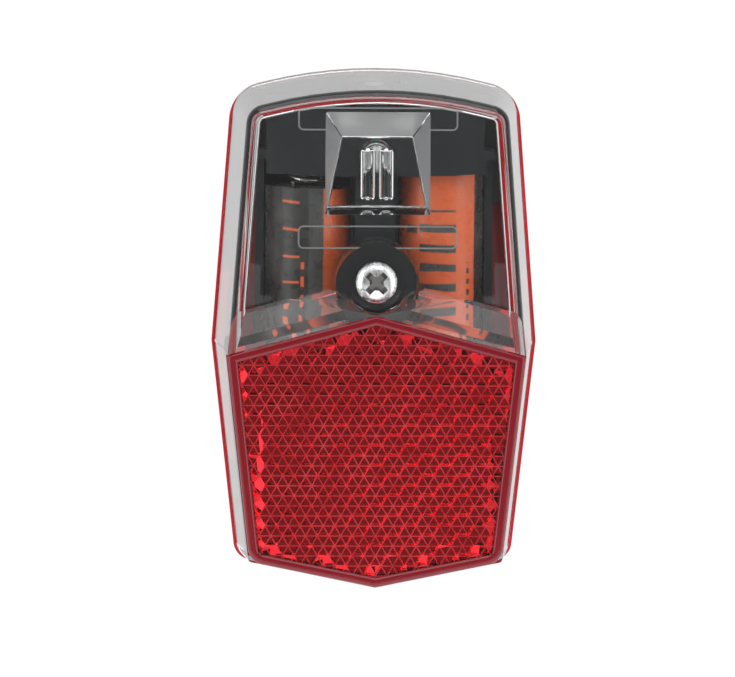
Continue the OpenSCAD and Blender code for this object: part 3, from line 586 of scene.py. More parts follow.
def plated(name, rgb, rough, stretch=(1, 1, 1), scratch=0.006 * MM):
    """Plated metal with brushed streaks and a little tarnish."""
    made = Finish(name, Metallic=1.0)
    turned = made.node("ShaderNodeMapping", {"Vector": made.place, "Scale": stretch})
    brushed = made.node("ShaderNodeTexNoise", {"Vector": turned.outputs[0], "Scale": 700, "Detail": 4})
    streaks = brushed.outputs[0]
    tarnish = made.noise(160, 3)
    made.set(Base_Color=made.mix(tarnish, tuple(c * 0.82 for c in rgb), rgb))
    made.set(Roughness=made.ramp(streaks, 0.3, 0.7, rough * 0.7, rough * 1.4))
    made.bump(streaks, scratch, 0.5)
    return made.material


def clear_plastic(name, tint, rough, through=1.0):
    """Clear plastic with specks of dust and faint handling marks, up to the given roughness."""
    made = Finish(name, Base_Color=tint, Transmission_Weight=through, IOR=1.49)
    marks = made.ramp(made.noise(60, 5), 0.55, 0.8, 0.0 if rough < 0.1 else 0.8 * rough, rough)
    dust = made.math("MULTIPLY", made.specks(420, 0.05, 0.12), 0.35)
    made.set(Roughness=made.math("ADD", marks, dust))
    made.let_lamps_through((0.96, 0.97, 0.97))
    return made.material


def red_clear_plastic(tint, highlight_tint, spacing, line_w, peak_z, face_y):
    """Transparent red plastic with a slightly uneven polish. On the front face, three sets of fine lines, a
    spacing apart and all through the peak, are painted paler and less clear over the cells' edges: a painted
    highlight for the light that those edges catch."""
    made = Finish("red_clear_plastic", IOR=1.49)
    x, z = made.axis(0), made.math("SUBTRACT", made.axis(2), peak_z)
    nearest = None
    for turn in (math.pi / 6, math.pi / 2, math.pi * 5 / 6):
        over = made.math("MULTIPLY", x, math.cos(turn))
        up = made.math("MULTIPLY", z, math.sin(turn))
        across = made.math("ADD", over, up)
        away = made.math("PINGPONG", across, spacing / 2)
        nearest = away if nearest is None else made.math("MINIMUM", nearest, away)
    # Paler, less clear lines: a painted highlight over the cells' edges.
    line = made.ramp(nearest, line_w * 0.3, line_w * 0.6, 1.0, 0.0)
    patchy = made.ramp(made.noise(210, 3), 0.3, 0.7, 0.35, 1.0)
    in_front = made.math("LESS_THAN", made.axis(1), face_y)
    line = made.math("MULTIPLY", made.math("MULTIPLY", line, patchy), in_front)
    made.set(Base_Color=made.mix(line, tint, highlight_tint))
    made.set(Transmission_Weight=made.math("MULTIPLY_ADD", line, -0.75, 1.0))
    polish = made.ramp(made.noise(140, 4), 0.35, 0.75, 0.0, 0.05)
    made.set(Roughness=made.math("MULTIPLY_ADD", line, 0.3, polish))
    made.let_lamps_through((0.8, 0.10, 0.10))
    return made.material


def red_frame_plastic(rgb):
    """Red plastic thick enough to look solid, with a polished skin."""
    return moulded("red_frame_plastic", rgb, 0.13, 700, 0.01 * MM, 0.1)


def cell_edge_glint_plastic(rgb):
    """Blunt edges between the faces of the reflector's cells, given a pale opaque colour: a painted highlight
    for the light that they scatter.
    """
    return moulded("cell_edge_glint_plastic", rgb, 0.5, 2400, 0.005 * MM, 0.2)


def printed_film(name, axis_x, axis_y, base, prints):
    """A cell's printed sleeve. Each print is a colour, a window of angle and a mask of height bars."""
    made = Finish(name, Specular_IOR_Level=0.35)
    x = made.math("SUBTRACT", made.axis(0), axis_x)
    y = made.math("SUBTRACT", axis_y, made.axis(1))
    turn = made.math("ARCTAN2", x, y)
    height = made.axis(2)
    paint = base
    for rgb, low, high, bars in prints:
        mask = made.band(turn, low, high, 0.012)
        if bars:
            start, pitch, fill, stop = bars
            step = made.math("FRACT", made.math("DIVIDE", made.math("SUBTRACT", height, start), pitch))
            rows = made.band(step, 0.03, fill, 0.02)
            mask = made.math("MULTIPLY", mask, rows)
            mask = made.math("MULTIPLY", mask, made.band(height, start, stop, 0.05 * MM))
        paint = made.mix(mask, paint, rgb)
    fade = made.ramp(made.noise(240, 4), 0.3, 0.8, 0.0, 0.12)
    made.set(Base_Color=made.mix(fade, paint, (0.35, 0.33, 0.31)))
    made.set(Roughness=made.ramp(made.noise(500, 3), 0.3, 0.7, 0.22, 0.36))
    made.bump(made.noise(130, 2), 0.05 * MM, 0.25)
    return made.material


def circuit_board(rgb, tracks):
    made = Finish("circuit_board", Coat_Weight=0.3, Coat_Roughness=0.15)
    lines = made.node("ShaderNodeTexBrick", {"Vector": made.place, "Scale": 260.0, "Mortar Size": 0.03,
                                             "Color1": (0, 0, 0), "Color2": (0, 0, 0), "Mortar": (1, 1, 1)})
    made.set(Base_Color=made.mix(lines.outputs["Color"], rgb, tracks))
    made.set(Roughness=made.ramp(made.noise(400), 0.3, 0.7, 0.25, 0.45))
    made.bump(lines.outputs["Color"], 0.03 * MM, 0.6)
    return made.material


# Clear cover

def window_rings(settings, wall):
    """Rings of the cover's form from its rim to the window, drawn in by a wall for the hollow."""
    case, cover = settings.case, settings.cover
    corners = case_corners(case)
    wide, deep = (cover.edge_in, cover.edge_deep) if wall == 0 else (cover.inner_edge, cover.inner_edge)
    edge_d = case.front_d - deep
    edge_in = cover_inset(case, edge_d)
    start_d = case.rim_d if wall == 0 else case.rim_d - MM
    stations = [(start_d, max(0, cover_inset(case, start_d)))]
    stations.append((case.bezel_d - wall, case.cover_draft))
    steps = 8
    for k in range(steps + 1):
        turn = math.pi / 2 * k / steps
        stations.append((edge_d - wall + deep * math.sin(turn), edge_in + wide * (1 - math.cos(turn))))
    return [ring(corners, inset + wall, depth) for depth, inset in stations]


def roof_points(cover, depth, raise_z, flat_half_w):
    """Region under a roof with a flat of the given half width in the middle."""
    side_z = raise_z - (FAR - flat_half_w) * math.tan(cover.roof_slope)
    outline = [(-FAR, -FAR), (FAR, -FAR), (FAR, side_z), (flat_half_w, raise_z), (-flat_half_w, raise_z),
               (-FAR, side_z)]
    return [Vector((x, -depth, z)) for x, z in outline]


def reflector_bay(settings, wall, back_d):
    """Space in front of the reflector, with the slope that rises from its roof to the window."""
    case, cover = settings.case, settings.cover
    peak = 0.02 * MM
    up = wall / math.cos(cover.roof_slope)
    slope_up = 1.5 * wall
    run = case.front_d - case.bezel_d
    past = 2.0
    rise = (cover.lip_z - cover.roof_z) * past
    spread = cover.lip_half_w * past
    return loft("bay", [
        roof_points(cover, back_d, cover.roof_z + up, peak),
        roof_points(cover, case.bezel_d, cover.roof_z + slope_up, peak),
        roof_points(cover, case.bezel_d + run * past, cover.roof_z + rise + slope_up, spread),
    ])


def light_guide(settings):
    case, cover = settings.case, settings.cover
    front = case.front_d - case.cover_wall
    back = front - cover.guide_len

    def frame_at(depth, low_half_w, high_half_w, low, high):
        outline = [(-low_half_w, low), (low_half_w, low), (high_half_w, high), (-high_half_w, high)]
        return [Vector((x, -depth, z)) for x, z in outline]

    wide, foot = cover.guide_half_w, MM
    back_low, back_high = cover.guide_low_z + foot, cover.guide_high_z - cover.guide_top_slope
    body = loft("guide", [
        frame_at(front + 0.4 * MM, wide, wide, cover.guide_low_z, cover.guide_high_z),
        frame_at(back, wide - cover.guide_foot_slope, wide - cover.guide_side_slope, back_low, back_high),
    ])
    soften(body, 0.3 * MM, 3)
    low, high = back_low + foot, back_high - 2 * foot
    for side in (-1, 1):
        at = Matrix.Translation((side * cover.flute_pitch / 2, -back, low))
        soft = 0.5 * MM
        profile = [(cover.flute_r - soft, 0), (cover.flute_r, soft), (cover.flute_r, high - low - soft),
                   (cover.flute_r - soft, high - low)]
        combine(body, lathe("flute", profile, at), "UNION")
    return body


def insert_line(cover, middle_z, depth):
    """Fine raised line round a field where the mould had an insert."""
    corner = 0.8 * MM
    half_w, half_h = cover.line_half_w, cover.line_half_h
    corners = [(-half_w, middle_z - half_h, corner), (half_w, middle_z - half_h, corner),
               (half_w, middle_z + half_h, corner), (-half_w, middle_z + half_h, corner)]
    w = cover.line_w / 2
    sections = [(-w, depth + w), (-w * 0.7, depth - w * 0.7), (w * 0.7, depth - w * 0.7), (w, depth + w)]
    return loft("line", [ring(corners, inset, d) for inset, d in sections], closed=True)


def make_cover(settings):
    case, cover, plate = settings.case, settings.cover, settings.reflector
    seat_d = case.bezel_d - plate.frame_h - plate.plate_t
    pocket_d = -PLATE_HIGH.y - plate.pocket_gap
    well_floor_d = -SEAL_HIGH.y
    tower_end_d = well_floor_d - cover.tower_floor
    inner_front = case.front_d - case.cover_wall

    hollow = loft("hollow", window_rings(settings, case.cover_wall))
    combine(hollow, [
        reflector_bay(settings, case.cover_wall, pocket_d - case.cover_wall),
        rod("tower", cover.tower_r, 0, SCREW_Z, tower_end_d, FAR),
        light_guide(settings),
        insert_line(cover, cover.line_top, inner_front),
        insert_line(cover, cover.line_bottom, inner_front),
    ])
    shell = loft("cover_shell", window_rings(settings, 0))
    combine(shell, [
        reflector_bay(settings, 0, seat_d),
        hollow,
        loft("pocket", [ring(reflector_corners(case, cover), plate.frame_w, d) for d in (pocket_d, FAR)]),
        rod("well", cover.well_r, 0, SCREW_Z, well_floor_d, FAR),
        rod("hole", cover.screw_hole_r, 0, SCREW_Z, tower_end_d - MM, FAR),
    ])
    soften(shell, cover.edge_r, 2, 50, 40)
    finishes = settings.finishes
    # The second finish is the clear plastic frosted and made grey; the grey is painted shade.
    seat(shell, "clear_cover", clear_plastic("clear_plastic", finishes.clear, 0.06),
         clear_plastic("shaded_satin_plastic", finishes.shaded_satin, 0.5, 0.3))
    guide_back = inner_front - cover.guide_len
    side_x = cover.guide_half_w - cover.guide_side_slope
    # The light guide's side and top faces and the insert lines take the grey frosted finish, which paints
    # shade on them.
    for face in shell.data.polygons:
        at = face.center
        along_guide = guide_back + 0.3 * MM < -at.y < inner_front - 0.1 * MM
        beside = abs(at.x) > side_x - 0.2 * MM and abs(at.x) < cover.guide_half_w + 0.2 * MM
        above = abs(at.x) < cover.guide_half_w and face.normal.z > 0.7
        in_height = cover.guide_low_z + MM < at.z < cover.guide_high_z + 0.2 * MM
        on_guide = along_guide and in_height and (above or beside and abs(face.normal.x) > 0.7)
        raised = inner_front - cover.line_w < -at.y < inner_front - 0.01 * MM
        from_field = min(abs(at.z - cover.line_top), abs(at.z - cover.line_bottom))
        near_line = from_field < cover.line_half_h + cover.line_w
        on_line = raised and near_line and abs(at.x) < cover.line_half_w + cover.line_w
        if on_guide or on_line:
            face.material_index = 1


# Reflector

def cube_corner(side):
    """One cell: three faces of a cube that meet at the middle, with corners at three heights."""
    step = side / math.sqrt(2)
    bm = bmesh.new()
    middle = bm.verts.new((0, 0, 2 * step))
    rim = [bm.verts.new((side * math.cos(math.pi / 3 * k), side * math.sin(math.pi / 3 * k),
                         step if k % 2 == 0 else 0)) for k in range(6)]
    for k in (0, 2, 4):
        bm.faces.new((middle, rim[k], rim[k + 1], rim[(k + 2) % 6]))
    mesh = bpy.data.meshes.new("cube_corner")
    bm.to_mesh(mesh)
    bm.free()
    return link("cube_corner", mesh)


def cell_sheet(settings, material):
    """Cube corners repeated on a honeycomb, wider than the window that they are trimmed to."""
    case, plate = settings.case, settings.reflector
    cell = cube_corner(plate.cell_side)
    column, row = 1.5 * plate.cell_side, math.sqrt(3) * plate.cell_side
    columns = 2 * math.ceil(case.waist_half_w / column) + 1
    rows = 2 * math.ceil((settings.cover.roof_z - case.foot_z + case.tip_drop) / row / 2) + 3
    tree = Tree("honeycomb", {
        "Cell": ("Object", cell),
        "Column pitch": ("Float", column),
        "Row pitch": ("Float", row),
        "Columns": ("Int", columns),
        "Rows": ("Int", rows),
        "Material": ("Material", material),
    })
    column_gaps = tree.math("SUBTRACT", tree.inputs["Columns"], 1.0)
    row_gaps = tree.math("SUBTRACT", tree.inputs["Rows"], 1.0)
    wide = tree.math("MULTIPLY", tree.inputs["Column pitch"], column_gaps)
    high = tree.math("MULTIPLY", tree.inputs["Row pitch"], row_gaps)
    grid = tree.node("GeometryNodeMeshGrid", {
        "Size X": wide, "Size Y": high,
        "Vertices X": tree.inputs["Columns"], "Vertices Y": tree.inputs["Rows"]})
    place = tree.node("ShaderNodeSeparateXYZ", {0: tree.node("GeometryNodeInputPosition").outputs[0]})
    index = tree.math("ROUND", tree.math("DIVIDE", place.outputs[0], tree.inputs["Column pitch"]))
    odd = tree.math("ABSOLUTE", tree.math("MODULO", index, 2.0))
    shift = tree.math("MULTIPLY", odd, tree.math("MULTIPLY", tree.inputs["Row pitch"], 0.5))
    lift = tree.node("ShaderNodeCombineXYZ", {1: shift})
    moved = tree.node("GeometryNodeSetPosition", {
        "Geometry": grid.outputs["Mesh"], "Offset": lift.outputs[0]})
    source = tree.node("GeometryNodeObjectInfo", {"Object": tree.inputs["Cell"]})
    spread = tree.node("GeometryNodeInstanceOnPoints", {
        "Points": moved.outputs[0], "Instance": source.outputs["Geometry"]})
    sheet = tree.bake(spread.outputs[0], "cell_sheet")
    used = cell.data
    bpy.data.objects.remove(cell)
    bpy.data.meshes.remove(used)
    return sheet, rows * row


def thickened(sheet, base_h):
    """Closes an open sheet with a wall down to a flat base at the given height."""
    bm = bmesh.new()
    bm.from_mesh(sheet.data)
    edges = [e for e in bm.edges if e.is_boundary]
    skirt = bmesh.ops.extrude_edge_only(bm, edges=edges)["geom"]
    for v in (g for g in skirt if isinstance(g, bmesh.types.BMVert)):
        v.co.z = base_h
    rim = [e for e in bm.edges if e.is_boundary]
    bmesh.ops.contextual_create(bm, geom=rim)
    bmesh.ops.recalc_face_normals(bm, faces=bm.faces)
    bm.to_mesh(sheet.data)
    bm.free()
    return sheet


def line_distance(a, b, point):
    """Distance of a point to the left of the line from corner a to corner b, seen from the front."""
    along = Vector((b[0] - a[0], b[1] - a[1])).normalized()
    return along.x * (point.z - a[1]) - along.y * (point.x - a[0])


def make_reflector(settings):
    case, cover, plate = settings.case, settings.cover, settings.reflector
    finishes = settings.finishes
    spacing = plate.cell_side * math.sqrt(3) / 2
    plate_d = case.bezel_d - plate.frame_h
    # The reflector's material paints paler lines over the cells' edges: a painted highlight.
    material = red_clear_plastic(finishes.red_clear, finishes.painted_line_highlight, spacing, plate.line_w, cover.roof_z,
                                 0.1 * MM - plate_d)
    corners = reflector_corners(case, cover)
    seat_d = plate_d - plate.plate_t
    inside = plate.frame_w
    edge = 0.6 * MM
    stations = [(0, seat_d), (0, case.bezel_d - edge)]
    steps = 5
    for k in range(1, steps + 1):
        turn = math.pi / 2 * k / steps
        stations.append((edge * (1 - math.cos(turn)), case.bezel_d - edge + edge * math.sin(turn)))
    slope = 0.55 * MM
    for k in range(steps + 1):
        turn = math.pi / 2 * k / steps
        reach = inside - slope + slope * math.sin(turn)
        stations.append((reach, case.bezel_d - slope + slope * math.cos(turn)))
    stations.append((inside, plate_d))
    body = loft("reflector_plate", [ring(corners, inset, depth) for inset, depth in stations])

    sheet, height = cell_sheet(settings, material)
    thickened(sheet, -plate.plate_t / 2)
    middle_z = cover.roof_z - height / 2 + math.sqrt(3) * plate.cell_side / 2
    turned = Matrix.Rotation(math.pi / 2, 4, "X") @ Matrix.Scale(-1, 4, (0, 0, 1))
    sheet.data.transform(Matrix.Translation((0, -seat_d, middle_z)) @ turned)
    sheet.data.flip_normals()
    trim = loft("trim", [ring(corners, inside + plate.sheet_inset, d) for d in (0.03, plate_d - 0.2 * MM)])
    combine(sheet, trim, "INTERSECT")
    combine(body, sheet, "UNION")
    # The third skin paints a pale highlight on the rounded edges between the cells.
    skins = [material, red_frame_plastic(finishes.red_frame), cell_edge_glint_plastic(finishes.cell_edge_glint)]
    body.data.materials.clear()
    for skin in skins:
        body.data.materials.append(skin)
    soften(body, plate.edge_w, 2, 55, 30, slot=2)
    sides = list(zip(corners, corners[1:] + corners[:1]))
    kept = []
    for face in body.data.polygons:
        on_frame = min(line_distance(a, b, face.center) for a, b in sides) < inside - 0.05 * MM
        on_cells = -face.center.y < seat_d - 0.05 * MM
        kept.append(1 if on_frame else face.material_index if on_cells else 0)
    seat(body, "reflector", *skins)
    body.data.polygons.foreach_set("material_index", kept)


# Housing

def band_ring(name, case, outer, inner, back, front):
    """Ring that follows the case between two insets and two depths."""
    corners = case_corners(case)
    stations = [(outer, back), (outer, front), (inner, front), (inner, back)]
    return loft(name, [ring(corners, inset, depth) for inset, depth in stations], closed=True)


def housing_rings(case, wall, front):
    corners = case_corners(case, case.crown_tuck)
    back = case.pad_t + wall
    stations = [(housing_inset(case, front), front)]
    steps = 7
    for k in range(steps + 1):
        turn = math.pi / 2 * k / steps
        depth = back + case.back_edge * (1 - math.sin(turn))
        stations.append((housing_inset(case, depth) + case.back_edge * (1 - math.cos(turn)), depth))
    return [ring(corners, inset + wall, depth) for inset, depth in stations]


def make_housing(settings):
    case, fittings = settings.case, settings.fittings
    button_low, button_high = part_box("button_cap")
    nut_low, nut_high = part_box("captive_nut")
    gasket_low, gasket_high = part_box("cover_gasket")
    shell = loft("housing_shell", housing_rings(case, 0, case.seam_d))
    combine(shell, loft("hollow", housing_rings(case, case.housing_wall, case.seam_d + MM)))

    pad_half_w, pad_reach = 9 * MM, 8 * MM
    pad_half_h, corner_r = pad_reach + pad_half_w, pad_half_w * 0.98
    pad_corners = [(x * pad_half_w, z * pad_half_h, corner_r) for x, z in ((-1, -1), (1, -1), (1, 1), (-1, 1))]
    soft = 0.4 * MM
    pad_stations = [(soft, 0), (0.1 * MM, 0.1 * MM), (0, soft), (0, case.pad_t + 0.5 * MM)]
    pad = loft("pad", [ring(pad_corners, inset, depth) for inset, depth in pad_stations])
    boss_r, stud_r, stud_front = 6 * MM, 2.4 * MM, 7 * MM
    boss = rod("boss", boss_r, 0, 0, case.pad_t + 0.4 * MM, -nut_low.y + 0.15 * MM)
    studs = [rod("stud", stud_r, x, z, case.pad_t + MM, stud_front) for x, z in tray_screw_places()]

    tongue_t, tongue_h, gap = 1.4 * MM, 5 * MM, 0.25 * MM
    outer = case.cover_wall + cover_inset(case, case.seam_d + tongue_h) + gap
    root_d = case.seam_d - 3 * MM
    tongue = band_ring("tongue", case, outer, outer + tongue_t, root_d, case.seam_d + tongue_h)
    ledge = band_ring("ledge", case, case.housing_wall / 2, outer + tongue_t, root_d, case.seam_d - gap)
    low_z, high_z = case.waist_z - 20 * MM, case.waist_z + 12 * MM
    tongues = combine(tongue, ledge, "UNION")
    combine(tongues, block("band", (-FAR, -FAR, low_z), (FAR, 0, high_z)), "INTERSECT")
    combine(shell, [pad, boss, *studs, tongues], "UNION")

    groove_in = (case.cover_wall - fittings.groove_w) / 2
    groove_out = groove_in + fittings.groove_w
    groove = band_ring("groove", case, groove_in, groove_out, -gasket_high.y, case.seam_d + MM)
    pocket_r = (fittings.nut_flats / 2 + 0.15 * MM) / math.cos(math.pi / 6)
    pocket = lathe("pocket", [(pocket_r, 0), (pocket_r, FAR)], forward(0, -nut_high.y, 0), 6)
    pocket.data.transform(Matrix.Rotation(math.pi / 6, 4, "Y"))
    hole_r, hole_len, hole_below = 3.65 * MM, 20 * MM, 5 * MM
    hole = lathe("button_hole", [(hole_r, 0), (hole_r, hole_len)],
                 Matrix.Translation((0, (button_low.y + button_high.y) / 2, button_low.z - hole_below)))
    cuts = [groove, pocket, hole, rod("bolt", fittings.bolt_hole_r, 0, 0, -MM, -nut_high.y + MM)]
    pilot_r, pilot_d = 1.15 * MM, 2.5 * MM
    cuts += [rod("stud_hole", pilot_r, x, z, pilot_d, FAR, 24) for x, z in tray_screw_places()]
    combine(shell, cuts)
    soften(shell, 0.2 * MM, 2, 50, 38)
    seat(shell, "rear_housing", moulded("red_plastic", settings.finishes.red_plastic, 0.2, Coat_Weight=0.4,
                                        Coat_Roughness=0.06))

    play = 0.05 * MM
    gasket = band_ring("rim_gasket", case, groove_in + play, groove_out - play, -gasket_high.y, -gasket_low.y)
    soften(gasket, 0.15 * MM, 2, 50)
    seat(gasket, "cover_gasket", moulded("gasket_rubber", settings.finishes.gasket, 0.6))


# Tray, contacts and springs

def tray_screw_places():
    """Axes of the four tray screws, from the corners of their node's box."""
    low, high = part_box("tray_screws")
    reach = 1.9 * MM
    upper_x, lower_x = high.x - reach, 10 * MM
    rows = ((upper_x, high.z - reach), (lower_x, low.z + reach))
    return [(side * x, z) for x, z in rows for side in (-1, 1)]


def make_tray(settings):
    tray = cad_copy("battery_tray", "tray_body")
    soften(tray, 0.18 * MM, 2, 50)
    black = moulded("tray_plastic", settings.finishes.black_plastic, 0.42, 1400, Specular_IOR_Level=0.25)
    seat(tray, "battery_tray", black)


def contact_spring(settings, name, node, flip, material):
    """Cone-shaped spring: a narrowing helix with a round wire, made along Z from its plate."""
    fittings = settings.fittings
    low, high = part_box(node)
    tree = Tree(name + "_tree", {
        "Turns": ("Float", fittings.spring_turns),
        "Wide radius": ("Float", fittings.spring_wide_r),
        "Narrow radius": ("Float", fittings.spring_narrow_r),
        "Height": ("Float", high.z - low.z - 2 * fittings.wire_r),
        "Wire radius": ("Float", fittings.wire_r),
        "Material": ("Material", material),
    })
    path = tree.node("GeometryNodeCurveSpiral", {
        "Resolution": 32, "Rotations": tree.inputs["Turns"], "Start Radius": tree.inputs["Wide radius"],
        "End Radius": tree.inputs["Narrow radius"], "Height": tree.inputs["Height"]})
    wire = tree.node("GeometryNodeCurvePrimitiveCircle", {
        "Resolution": 12, "Radius": tree.inputs["Wire radius"]})
    tube = tree.node("GeometryNodeCurveToMesh", {"Curve": path.outputs[0], "Profile Curve": wire.outputs[0],
                                                 "Fill Caps": True})
    spring = tree.bake(tube.outputs[0], name)
    middle = Vector(((low.x + high.x) / 2, (low.y + high.y) / 2, low.z + fittings.wire_r))
    turn = Matrix()
    if flip:
        middle.z = high.z - fittings.wire_r
        turn = Matrix.Rotation(math.pi, 4, "X")
    spring.data.transform(Matrix.Translation(middle) @ turn)
    return seat(shade(spring, 60), node, material)


def make_contacts(settings):
    metal = plated("contact_metal", settings.finishes.contact, 0.28, (1, 1, 6))
    for node, name in (("positive_contact", "positive_plate"), ("negative_contact", "negative_plate"),
                       ("bridge_plate", "bridge_strip")):
        plate = soften(cad_copy(node, name), 0.08 * MM, 2, 50)
        seat(plate, node, metal)
    contact_spring(settings, "negative_coil", "negative_spring", True, metal)
    contact_spring(settings, "bridge_coil", "bridge_spring", False, metal)


# Cells

def make_cells(settings):
    fittings, finishes = settings.fittings, settings.finishes
    steel = plated("cell_steel", (0.66, 0.66, 0.67), 0.24, (1, 1, 8))
    print_of = {
        "left": (finishes.ink, [
            (finishes.charcoal, 0.02, 0.38, None),
            (finishes.orange, 0.38, 1.9, None),
            (finishes.orange, -0.62, -0.20, (20 * MM, 4.6 * MM, 0.12, 38 * MM)),
            (finishes.orange, -0.55, -0.42, (2 * MM, 2.3 * MM, 0.5, 17 * MM)),
            (finishes.orange, -0.16, -0.08, (4 * MM, 3.1 * MM, 0.6, 24 * MM)),
        ]),
        "right": (finishes.orange, [
            (finishes.ink, 0.86, 3.2, None),
            (finishes.ink, -3.2, -2.3, None),
            (finishes.charcoal, -0.55, 0.34, (1.5 * MM, 3.45 * MM, 0.42, 33 * MM)),
            (finishes.charcoal, -0.95, -0.62, (4 * MM, 8.2 * MM, 0.2, 33 * MM)),
            (finishes.ink, 0.62, 0.70, (1 * MM, 1.9 * MM, 0.55, 24 * MM)),
        ]),
    }
    for side, flip in (("left", True), ("right", False)):
        low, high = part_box(side + "_cell")
        axis_x, axis_y = (low.x + high.x) / 2, (low.y + high.y) / 2
        can_r, length = (high.x - low.x) / 2, high.z - low.z
        sleeve_low, sleeve_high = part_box(side + "_cell_sleeve")
        film_r, film_len = (sleeve_high.x - sleeve_low.x) / 2, sleeve_high.z - sleeve_low.z
        place = Matrix.Translation((axis_x, axis_y, high.z if flip else low.z))
        if flip:
            place = place @ Matrix.Rotation(math.pi, 4, "X")
        body_len = length - fittings.nub_len
        step, nub = 0.35 * MM, fittings.nub_r
        can = lathe(side + "_can", [
            (0, 0), (can_r - 1.6 * MM, 0), (can_r - 1.3 * MM, step), (can_r - step, step), (can_r, 2 * step),
            (can_r, body_len - 2 * step), (can_r - step, body_len - step), (nub + 0.9 * MM, body_len - step),
            (nub + 0.5 * MM, body_len - 2 * step), (nub, body_len - step), (nub, length - step),
            (nub - 0.12 * MM, length - 0.1 * MM), (nub - step, length), (1.1 * MM, length),
            (0.8 * MM, length - 0.1 * MM), (0, length - 0.12 * MM)], place)
        seat(shade(can), side + "_cell", steel)
        t, lip, bend = fittings.film_t, fittings.film_lip, 0.5 * MM
        film = lathe(side + "_sleeve", [
            (film_r - lip, 0), (film_r - bend, 0), (film_r - 0.15 * bend, 0.15 * bend), (film_r, bend),
            (film_r, film_len - bend), (film_r - 0.15 * bend, film_len - 0.15 * bend),
            (film_r - bend, film_len), (film_r - lip, film_len), (film_r - lip, film_len - t),
            (film_r - bend, film_len - t),
            (film_r - t, film_len - bend), (film_r - t, bend), (film_r - bend, t), (film_r - lip, t)],
            place, 96, closed=True)
        base, prints = print_of[side]
        seat(shade(film), side + "_cell_sleeve",
             printed_film(side + "_print", axis_x, axis_y, base, prints))


# Lamp, board and switch

def make_lamp(settings):
    finishes = settings.finishes
    low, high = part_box("led")
    x, z, back = (low.x + high.x) / 2, (low.z + high.z) / 2, -high.y
    length = high.y - low.y
    collar_r = (high.x - low.x) / 2
    lamp_r, collar_t = collar_r - 0.4 * MM, 1 * MM
    turns = [math.pi / 2 * k / 12 for k in range(13)]
    dome = [(lamp_r * math.cos(turn), length - lamp_r + lamp_r * math.sin(turn)) for turn in turns]
    soft = 0.12 * MM
    lamp = lathe("lamp_body", [
        (0, 0), (collar_r - soft, 0), (collar_r, soft), (collar_r, collar_t - soft),
        (collar_r - soft, collar_t), (lamp_r, collar_t), *dome], forward(x, back, z), 48)
    epoxy = Finish("lamp_epoxy", Base_Color=finishes.lamp, Transmission_Weight=1.0, IOR=1.53)
    epoxy.set(Roughness=epoxy.ramp(epoxy.noise(300), 0.3, 0.7, 0.0, 0.05))
    epoxy.let_lamps_through((0.95, 0.95, 0.95))
    seat(shade(lamp), "led", epoxy.material)

    cup_r, cup_h, stem = 1.25 * MM, 2.6 * MM, 0.5 * MM
    cup = lathe("lamp_cup", [
        (0, 0.2 * MM), (stem, 0.2 * MM), (stem, cup_h - MM), (cup_r, cup_h), (cup_r, cup_h + MM),
        (cup_r - 0.3 * MM, cup_h + MM), (0.45 * MM, cup_h + 0.3 * MM), (0, cup_h + 0.3 * MM)],
        forward(x, back, z), 32)
    cup.data.materials.append(plated("cup_metal", (0.85, 0.85, 0.84), 0.15))
    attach(shade(cup), NODE_BODY["led"])

    board = soften(cad_copy("led_board", "board_plate"), 0.08 * MM, 1, 50)
    seat(board, "led_board", circuit_board(finishes.board, finishes.copper))
    chips = soften(cad_copy("board_components", "board_chips"), 0.1 * MM, 2, 50)
    seat(chips, "board_components", moulded("chip_epoxy", (0.02, 0.02, 0.021), 0.5, 2200))


def make_switch(settings):
    body = soften(cad_copy("switch_body", "switch_box"), 0.15 * MM, 2, 50)
    seat(body, "switch_body", moulded("switch_plastic", (0.02, 0.02, 0.022), 0.45, 1600))
    low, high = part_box("switch_plunger")
    r, h, soft = (high.x - low.x) / 2, high.z - low.z, 0.15 * MM
    middle = Matrix.Translation(((low.x + high.x) / 2, (low.y + high.y) / 2, low.z))
    profile = [(0, 0), (r - soft, 0), (r, soft), (r, h - soft), (r - soft, h), (0, h)]
    plunger = lathe("switch_stem", profile, middle, 48)
    seat(shade(plunger), "switch_plunger", moulded("stem_plastic", (0.62, 0.61, 0.58), 0.4))

    low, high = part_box("button_cap")
    flange_r, h = (high.x - low.x) / 2, high.z - low.z
    cap_r, flange_t = flange_r - 0.8 * MM, 0.8 * MM
    ribs = []
    for r in (2.3 * MM, 1.7 * MM, 1.1 * MM):
        ribs += [(r + 0.22 * MM, h - 0.12 * MM), (r + 0.12 * MM, h), (r - 0.12 * MM, h),
                 (r - 0.22 * MM, h - 0.12 * MM)]
    soft = 0.6 * MM
    turns = [math.pi / 2 * k / 5 for k in range(6)]
    edge = [(cap_r - soft + soft * math.cos(turn), h - 0.1 * MM - soft + soft * math.sin(turn))
            for turn in turns]
    cap = lathe("button_dome", [
        (0, 0), (flange_r - 0.1 * MM, 0), (flange_r, 0.1 * MM), (flange_r, flange_t - 0.1 * MM),
        (flange_r - 0.1 * MM, flange_t), (cap_r, flange_t), *edge, *ribs, (0, h - 0.12 * MM)],
        Matrix.Translation(((low.x + high.x) / 2, (low.y + high.y) / 2, low.z)))
    seat(shade(cap), "button_cap", moulded("button_rubber", settings.finishes.rubber, 0.62, 1500, 0.03 * MM))


# Fasteners

def threaded(root_r, crest_r, pitch, low, high, tip_r=None, count=32, rows=8):
    """Rings of a helical thread between two heights, running out to a tip at the low end."""
    rings = []
    total = max(2, round((high - low) / pitch * rows))
    for i in range(total + 1):
        h = low + (high - low) * i / total
        points = []
        for k in range(count):
            turn = k / count
            phase = (h / pitch - turn) % 1.0
            ridge = max(0.0, 1 - abs(phase - 0.5) / 0.32)
            taper = 1.0
            if tip_r is not None:
                taper = min(1.0, (h - low) / (1.6 * MM))
            r = root_r + (crest_r - root_r) * ridge
            if tip_r is not None:
                r = tip_r + (r - tip_r) * taper
            points.append(Vector((r * math.cos(2 * math.pi * turn), r * math.sin(2 * math.pi * turn), h)))
        rings.append(points)
    return rings


